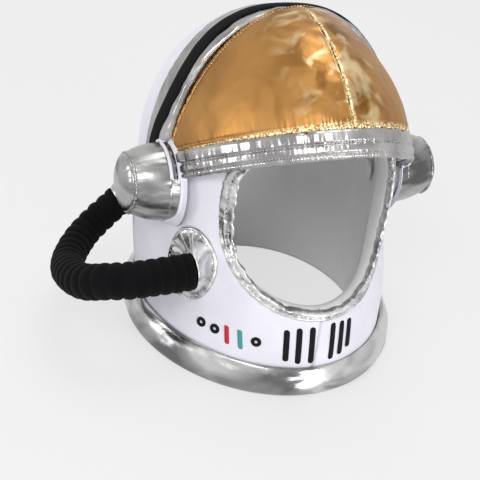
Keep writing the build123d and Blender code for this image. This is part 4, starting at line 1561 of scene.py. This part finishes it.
@dataclass
class Visor(Part):
    """The turning visor: gold panels, silver brim, rolled edge and lining."""

    body: ClassVar[Body] = Body.VISOR
    form: VisorForm
    row: float = 8.9
    rear_roll: float = 1.3
    rear_share: float = 0.94
    rim_run: float = 190.0
    brim_waves: tuple = (Waves(1.5, 2.5, 51.0, 4.0), Waves(0.8, 8.0, 52.0, 8.0))
    rear_waves: Waves = Waves(1.0, 2.8, 54.0, 5.0)
    seam_waves: Waves = Waves(1.2, 8.5, 57.0, 8.0)
    row_waves: Waves = Waves(1.3, 3.0, 71.0, 2.6)
    upper_waves: Waves = Waves(1.1, 9.0, 74.0)
    lower_waves: Waves = Waves(0.7, 2.6, 77.0, 2.0)
    roll_waves: tuple = (Waves(0.5, 2.4, 81.0), Waves(0.25, 8.0, 83.0))
    roll_radius: float = 2.4
    roll_depth: float = 2.3
    lining_depth: float = 4.4
    panel_folds: tuple = (Folds(1.3, 44, 61.0), Folds(0.3, 15, 63.0))
    band_folds: Folds = Folds(0.3, 15, 79.0)
    lining_folds: Folds = Folds(0.35, 22, 91.0)
    centre: Vector = field(default_factory=lambda: Vector((0, 0, EAR_HEIGHT)))

    def build(self) -> None:
        """Makes every piece of the visor."""
        self._panel("visor_panel_right", RIGHT, "visor_foam")
        self._panel("visor_panel_left", LEFT)
        self._band()
        self._roll()
        self._lining()
        self._stitches()

    def _out(self, point: Vector) -> Vector:
        """The way out from the visor's middle."""
        return Vector((point.x, point.y, point.z - EAR_HEIGHT)).normalized()

    def _panel(self, name: str, side: int, *foam: str) -> None:
        """One gold half, gathered at its seams and turned in at its rear edge."""
        form = self.form
        seam_waves = replace(self.seam_waves, seed=self.seam_waves.seed + side)

        def angle_and_tuck(across: float, v: float, first: float) -> tuple[float, float]:
            """The angle at a share from the brim seam back, and how far the rear edge is turned in."""
            _, reach = form.outline(across, 0)
            last = form.rear_angle
            if v > self.rear_share:
                roll = (v - self.rear_share) / (1 - self.rear_share) * math.pi / 2
                return last - math.degrees((1 - math.sin(roll)) * self.rear_roll / reach), 4.4 * (1 - math.cos(roll))
            return first + (last - math.degrees(self.rear_roll / reach) - first) * v / self.rear_share, 0.0

        def place(u: float, v: float) -> Vector:
            """A point of the panel, from the ear to the middle seam and from the brim seam back."""
            across = side * form.ear * (1 - u)
            _, reach = form.outline(across, 0)
            first = form.angle_over_brim(across, form.seam_offset)
            angle, inset = angle_and_tuck(across, v, first)
            from_brim = math.radians(max(0.0, angle - first)) * reach
            from_rear = math.radians(max(0.0, form.rear_angle - angle)) * reach
            from_seam = abs(across) * 165
            run = abs(across) * self.rim_run
            climb = math.radians(angle) * reach
            inset += 1.3 * ridge(from_brim, 0, 1.3) + 1.2 * ridge(from_seam, 0, 1.5)
            inset += 0.7 * (ridge(from_brim, 3.6, 1.2) + ridge(from_rear, 3.6, 1.2))
            inset -= sum(waves.at(run, from_brim) for waves in self.brim_waves)
            inset -= self.rear_waves.at(climb + self.rear_waves.length * run, from_rear)
            inset -= seam_waves.at(climb, from_seam)
            dent = math.exp(-from_seam / 22) * (1 - math.exp(-from_seam / 4))
            inset -= 3.0 * dent * ripple(climb / 17, 58.0 + from_seam / 26)
            point = form.point(across, angle, inset)
            return point + self._out(point) * sum(folds.at(point) for folds in self.panel_folds)

        mesh = ClothGrid(210, 120, 150, 150).build(place)
        self.add(name, mesh, self.wardrobe.gold, *foam, away_from=self.centre, wall=0.9, fill=0.4)

    def _band(self) -> None:
        """The silver strip between the gold and the rolled edge, sewn once along its middle."""
        low, high = 1.0, self.form.seam_offset + 0.3

        def place(u: float, v: float) -> Vector:
            """A point of the strip, from ear to ear and from the roll back."""
            across = self.form.ear * (2 * u - 1)
            offset = low + (high - low) * v
            run = across * self.rim_run
            inset = 1.1 * ridge(offset, self.row, 1.0)
            inset += 1.2 * (1 - smoothstep(low, 3.6, offset)) + 0.8 * smoothstep(16.2, 17.8, offset)
            inset -= self.row_waves.at(run, abs(offset - self.row))
            inset -= smoothstep(self.row, self.row + 2, offset) * self.upper_waves.at(run)
            inset -= self.lower_waves.at(run, offset - low)
            point = self.form.point(across, self.form.angle_over_brim(across, offset), inset - 0.25)
            return point + self._out(point) * self.band_folds.at(point)

        mesh = ClothGrid(460, 40, 330, 19).build(place)
        self.add(
            "brim_band", mesh, self.wardrobe.satin, away_from=self.centre, wall=0.9,
            cut=Cut(0.0185, 0.315, 0.0058, "stretched", ("visor_lining",)),
        )

    def _roll(self) -> None:
        """The rolled edge, puckered by its stitches."""

        def place(u: float, v: float) -> Vector:
            """A point of the roll's skin."""
            across = self.form.ear * (2 * u - 1)
            radius = self.roll_radius + sum(waves.at(across * self.rim_run) for waves in self.roll_waves)
            angle = self.form.angle_over_brim(across, radius * math.sin(TURN * v))
            return self.form.point(across, angle, self.roll_depth + radius * math.cos(TURN * v))

        mesh = ClothGrid(560, 18, 330, 16).build(place)
        self.add("brim_roll", mesh, self.wardrobe.satin, "brim_cord", fill=0.8)

    def _lining(self) -> None:
        """The white lining inside the visor."""

        def place(u: float, v: float) -> Vector:
            """A point of the lining."""
            across = self.form.ear * (2 * u - 1)
            first = self.form.angle_over_brim(across, 1.5)
            point = self.form.point(across, first + (self.form.rear_angle - 0.6 - first) * v, self.lining_depth)
            return point + self._out(point) * min(0.0, self.lining_folds.at(point))

        mesh = ClothGrid(220, 70, 300, 130).build(place)
        lining = self.add(
            "visor_lining", mesh, self.wardrobe.lining, away_from=self.centre,
            cut=Cut(0.16, 0.36, 0.0274, "stretched", ("visor_panel_right", "visor_panel_left")),
        )
        lining.data.flip_normals()

    def _stitches(self) -> None:
        """Rows of stitches on the strip, the roll and the gold."""
        form, silver, gold = self.form, self.wardrobe.silver_thread, self.wardrobe.gold_thread
        fine = StitchRow(1.9, 0.6, 2.4)

        def sew(name: str, row: StitchRow, look: Look, limit: float, inset: float, angle: Callable) -> None:
            """Adds a row from side to side at an angle that depends on the place across."""
            places = [limit * (2 * step / 1000 - 1) for step in range(1001)]
            points = [form.point(across, angle(across), inset) for across in places]
            self.sew(name, row, [(point, self._out(point)) for point in points], look)

        for name, row, look, offset, inset in (
            ("brim_band", StitchRow(1.7, 0.6, 2.3), silver, self.row, 0.5),
            ("brim_roll", StitchRow(1.6, 0.55, 2.3), silver, 2.0, 0.4),
            ("gold_seam", fine, gold, 21.0, 0.45),
        ):
            limit = min(form.ear, form.end(offset + 6))
            sew(name, row, look, limit, inset, lambda across: form.angle_over_brim(across, offset))
        sew(
            "gold_rear", fine, gold, form.ear, 0.2,
            lambda across: form.rear_angle - math.degrees(4.0 / form.outline(across, 0)[1]),
        )


@dataclass
class EarPod(Part):
    """One stuffed silver pod over the ear joint."""

    side: int
    middle: float = 94.0
    base: float = 96.9
    base_radius: float = 28.5
    top_radius: float = 22.0
    length: float = 25.7
    dome: float = 7.8
    run: float = 26.0
    welt_radius: float = 29.5
    squash_from: float = 0.9
    belly: float = 1.3
    piping_seat: tuple[float, float] = (25.6, 22.3)
    piping_radius: float = 0.95
    wall_waves: tuple = (Waves(0.8, 3.0, 0.0), Waves(0.45, 7.5, 1.0))
    cap_waves: Waves = Waves(0.45, 4.0, 4.0)
    piping_waves: tuple = (Waves(0.42, 2.6, 6.0), Waves(0.21, 6.0, 7.0))

    @property
    def seed(self) -> float:
        """The number that shifts this pod's folds."""
        return 100.0 + 10 * self.side

    def _puckers(self, run: float, *waves: Waves) -> float:
        """The sum of waves at a place along them, with this pod's own seeds."""
        return sum(replace(one, seed=self.seed + one.seed).at(run) for one in waves)

    def _at(self, out: float, radius: float, turn: float) -> Vector:
        """A point at a distance out, a radius and an angle about the ear axis."""
        return Vector((self.side * (self.base + out), radius * math.cos(turn), EAR_HEIGHT + radius * math.sin(turn)))

    def _wall(self, u: float, v: float) -> Vector:
        """A point of the tapered wall."""
        turn = TURN * u
        radius = self.base_radius + (self.top_radius - self.base_radius) * v + self.belly * math.sin(math.pi * v)
        ends = math.exp(-v * self.length / 4.5) + math.exp(-(1 - v) * self.length / 3.5)
        radius += ends * self._puckers(turn * self.run, *self.wall_waves) - 0.5 * (v < 0.02)
        point = self._at(v * self.length, radius, turn)
        radius += Folds(1.1, 24, self.seed + 2).at(Vector((point.x * 0.7, point.y, point.z)))
        return self._at(v * self.length, radius, turn)

    def _cap(self, u: float, v: float) -> Vector:
        """A point of the domed cap."""
        turn, seed = TURN * u, self.seed
        radius = self.top_radius * v
        rise = self.dome * math.sqrt(max(0.0, 1 - v * v * 0.985))
        rise += smoothstep(0.45, 0.95, v) * self._puckers(turn * self.run, self.cap_waves)
        dents = Folds(0.5, 1.0, seed).at(Vector((turn * 2, radius / 12, seed)))
        rise += dents * smoothstep(0.1, 0.5, v) * (1 - 0.5 * v)
        return self._at(self.length - 0.4 + rise, radius, turn)

    def _piping(self, u: float, v: float) -> Vector:
        """A point of the piping at the cap's seam."""
        turn, (out, ring) = TURN * u, self.piping_seat
        size = self.piping_radius + self._puckers(turn * ring, *self.piping_waves)
        return self._at(out + size * math.sin(TURN * v), ring + size * math.cos(TURN * v), turn)

    def _sectors(self, turn: float) -> tuple[float, float]:
        """How far an angle belongs to the bare front and to the part under the visor, from 0 to 1 each."""
        ahead = (180 - math.degrees(turn)) % 360
        covered = smoothstep(27, 33, ahead) * (1 - smoothstep(99, 106, ahead))
        front = 1 - smoothstep(27, 33, ahead) if ahead < 180 else smoothstep(296, 332, ahead)
        return front, covered

    def _foot(self, turn: float) -> float:
        """Where the hood's cloth meets the pod, as a distance out from the pod's base."""
        front, covered = self._sectors(turn)
        return 0.9 * covered - 6.6 * front - 0.6 * (1 - front - covered)

    def _welt(self, u: float, v: float) -> Vector:
        """A point of the narrow white welt at the pod's foot."""
        turn, around = TURN * u, TURN * v
        size = 1.25 + Waves(0.12, 2.6, 106.0 + self.side).at(turn * 29)
        out = self._foot(turn) + size * math.sin(around)
        return self._at(out, self.welt_radius + size * math.cos(around), turn)

    def _skirt(self, u: float, v: float) -> Vector:
        """A point of the silver cloth that goes on from the wall down to the hood."""
        turn = TURN * u
        pucker = v * ripple(turn * self.run / 3.0, 150.0 + self.side)
        foot = min(0.0, self._foot(turn)) - 0.8
        return self._at(0.5 + (foot - 0.5) * v, 28.6 + 0.7 * v + 0.35 * pucker, turn)

    def _collar(self, u: float, v: float) -> Vector:
        """A point of the hood's soft cloth round the pod's foot."""
        turn = TURN * u
        _, covered = self._sectors(turn)
        foot = self._foot(turn) * (1 - covered) - 4.0 * covered
        pucker = math.sin(math.pi * v) * ripple(turn * self.run / 7.0, 140.0 + self.side)
        return self._at(foot + (-8.9 - foot) * v + 0.4 * pucker, 29.6 + 5.0 * v, turn)

    def build(self) -> None:
        """Makes the pod and the cloth at its foot, and dresses the joint inside it."""
        end = "_left" if self.side == LEFT else "_right"
        silver, velour = self.wardrobe.silver, self.wardrobe.velour
        centre = Vector((self.side * self.middle, 0, EAR_HEIGHT))
        wall = ClothGrid(180, 34, 170, 26).build(self._wall)
        self.add("pod_wall" + end, wall, silver, "pod_core" + end, away_from=centre, wall=0.9, fill=0.8)
        cap = ClothGrid(140, 26, 140, 24).build(self._cap)
        self.add("pod_cap" + end, cap, silver, away_from=centre, wall=0.8, fill=0.8)
        self.add("pod_piping" + end, ClothGrid(300, 12, 145, 8).build(self._piping), silver, fill=0.9)
        for name, look, place, rows, fill in (
            ("pod_skirt", silver, self._skirt, 10, 0.4),
            ("pod_welt", velour, self._welt, 12, 0.9),
            ("ear_collar", velour, self._collar, 12, 0.5),
        ):
            soft = self.add(name + end, ClothGrid(220, rows, 190, 9).build(place), look, away_from=centre, fill=fill)
            base = (self.side * (self.base + self.squash_from) * MM, 0, EAR_HEIGHT * MM)
            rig.squash(soft, "visor_hinge", axis=(self.side, 0, 0), anchor=base, keep=0.3)
        for node, look in (
            ("pivot_stud", self.wardrobe.plastic),
            ("pod_plate", self.wardrobe.plastic),
            ("visor_eyelet", self.wardrobe.eyelet),
            ("visor_ear", self.wardrobe.lining),
        ):
            self.maker.dress(node + end, look)


@dataclass
class Embroidery(Part):
    """Satin-stitched marks under the face opening.

    A bar has its angle, height and length, and a ring its angle and height, about an upright line.
    """

    tree: BVHTree
    reach: float = 20.0
    bars: tuple = (
        (15.4, 41.8, 27.5),
        (9.3, 42.0, 32.0),
        (2.8, 42.6, 33.0),
        (-8.1, 43.6, 34.0),
        (-13.5, 44.4, 31.5),
        (-18.5, 46.2, 26.5),
    )
    red: Triple = (45.2, 39.3, 14.7)
    teal: Triple = (38.1, 39.1, 15.5)
    black_size: tuple[float, float] = (4.6, 6.0)
    colour_size: tuple[float, float] = (3.8, 12.0)
    rings: tuple = ((59.9, 40.5), (52.0, 40.2), (30.1, 40.9))
    ring_radius: float = 2.55
    ring_width: float = 1.4

    def _on_front(self, angle: float, height: float, side: float, lift: float) -> Vector:
        """A point over the cover, from an angle about an upright line, a height and a step sideways."""
        turn = math.radians(-angle)
        way = Vector((math.sin(turn), -math.cos(turn), 0))
        across = Vector((math.cos(turn), math.sin(turn), 0))
        start = Vector((0, -self.reach, height)) + across * side
        hit, _, _, _ = self.tree.ray_cast(start, way)
        return (hit if hit is not None else start + way * 80) + way * lift

    def _bar(self, angle: float, height: float, length: float, width: float, lean: float) -> Mesh:
        """One raised bar with rounded ends."""

        def place(u: float, v: float) -> Vector:
            """A point of the bar's back and face."""
            end = min(1.0, math.sqrt(max(0.0, 1 - (abs(2 * v - 1)) ** 14)) + 0.02)
            side = 0.5 * width * end * math.cos(TURN * u) * (1 + 0.05 * ripple(v * length / 1.2, angle))
            lift = 0.15 + 0.75 * end * max(-0.3, math.sin(TURN * u))
            climb = (v - 0.5) * length
            return self._on_front(angle, height + climb, side - climb * math.tan(math.radians(lean)), lift)

        return close_ends(ClothGrid(16, 40, 2 * width, length).build(place))

    def _ring(self, angle: float, height: float) -> Mesh:
        """One raised ring."""

        def place(u: float, v: float) -> Vector:
            """A point of the ring's skin."""
            turn, around = TURN * u, TURN * v
            radius = self.ring_radius + self.ring_width * math.cos(around) * (1 + 0.08 * ripple(turn * 6, angle))
            lift = 0.2 + 0.8 * max(-0.3, math.sin(around))
            return self._on_front(angle, height + radius * math.sin(turn), radius * math.cos(turn), lift)

        return ClothGrid(36, 12, 17, 7).build(place)

    @staticmethod
    def _join(parts: Sequence[Mesh]) -> Mesh:
        """Puts several meshes into one."""
        whole = bmesh.new()
        for part in parts:
            data = bpy.data.meshes.new("part")
            part.to_mesh(data)
            part.free()
            whole.from_mesh(data)
            bpy.data.meshes.remove(data)
        return whole

    def build(self) -> None:
        """Makes all the marks."""
        looks = self.wardrobe
        self.add("front_bars", self._join([self._bar(*bar, *self.black_size) for bar in self.bars]), looks.black_thread)
        self.add("indicator_rings", self._join([self._ring(*ring) for ring in self.rings]), looks.black_thread)
        self.add("red_bar", self._bar(*self.red, *self.colour_size), looks.red_thread)
        self.add("teal_bar", self._bar(*self.teal, *self.colour_size), looks.teal_thread)


def main() -> None:
    """Builds the whole scene in order."""
    logging.basicConfig(level=logging.INFO, format="%(message)s")
    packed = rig.bounds()
    Studio().build()
    maker, wardrobe = Maker(), Wardrobe()
    hose = Hose(maker, wardrobe)
    hose.lay()
    hose.build()
    form, visor, face = HoodForm(), VisorForm(), FaceOutline()
    tree = form.tree()
    route = [Vector(point) / MM for point in hose.route]
    Boss(
        maker, wardrobe, tree, "hose_boss_front", (-80.0, -41.6, 79.4), (-0.94, -0.31, -0.16), 27.4,
        route[0], route[1] - route[0], 13.2, 13,
    ).build()
    Boss(
        maker, wardrobe, tree, "hose_boss_rear", (-86.0, 58.0, 84.0), (-0.93, 0.36, -0.05), 21.5,
        route[-1], route[-2] - route[-1], 11.6, 9,
    ).build()
    Hood(maker, wardrobe, form, visor, face).build()
    FaceBinding(maker, wardrobe, form, face).build()
    NeckRoll(maker, wardrobe, form).build()
    CrownBand(maker, wardrobe, tree).build()
    Visor(maker, wardrobe, visor).build()
    for side in (RIGHT, LEFT):
        EarPod(maker, wardrobe, side).build()
    Embroidery(maker, wardrobe, tree).build()
    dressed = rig.bounds()
    sizes = {"packed": [list(corner) for corner in packed], "dressed": [list(corner) for corner in dressed]}
    with open("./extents.json", "w") as file:
        json.dump(sizes, file)
    LOG.info("%d pieces", maker.made)


if __name__ == "__main__":
    main()
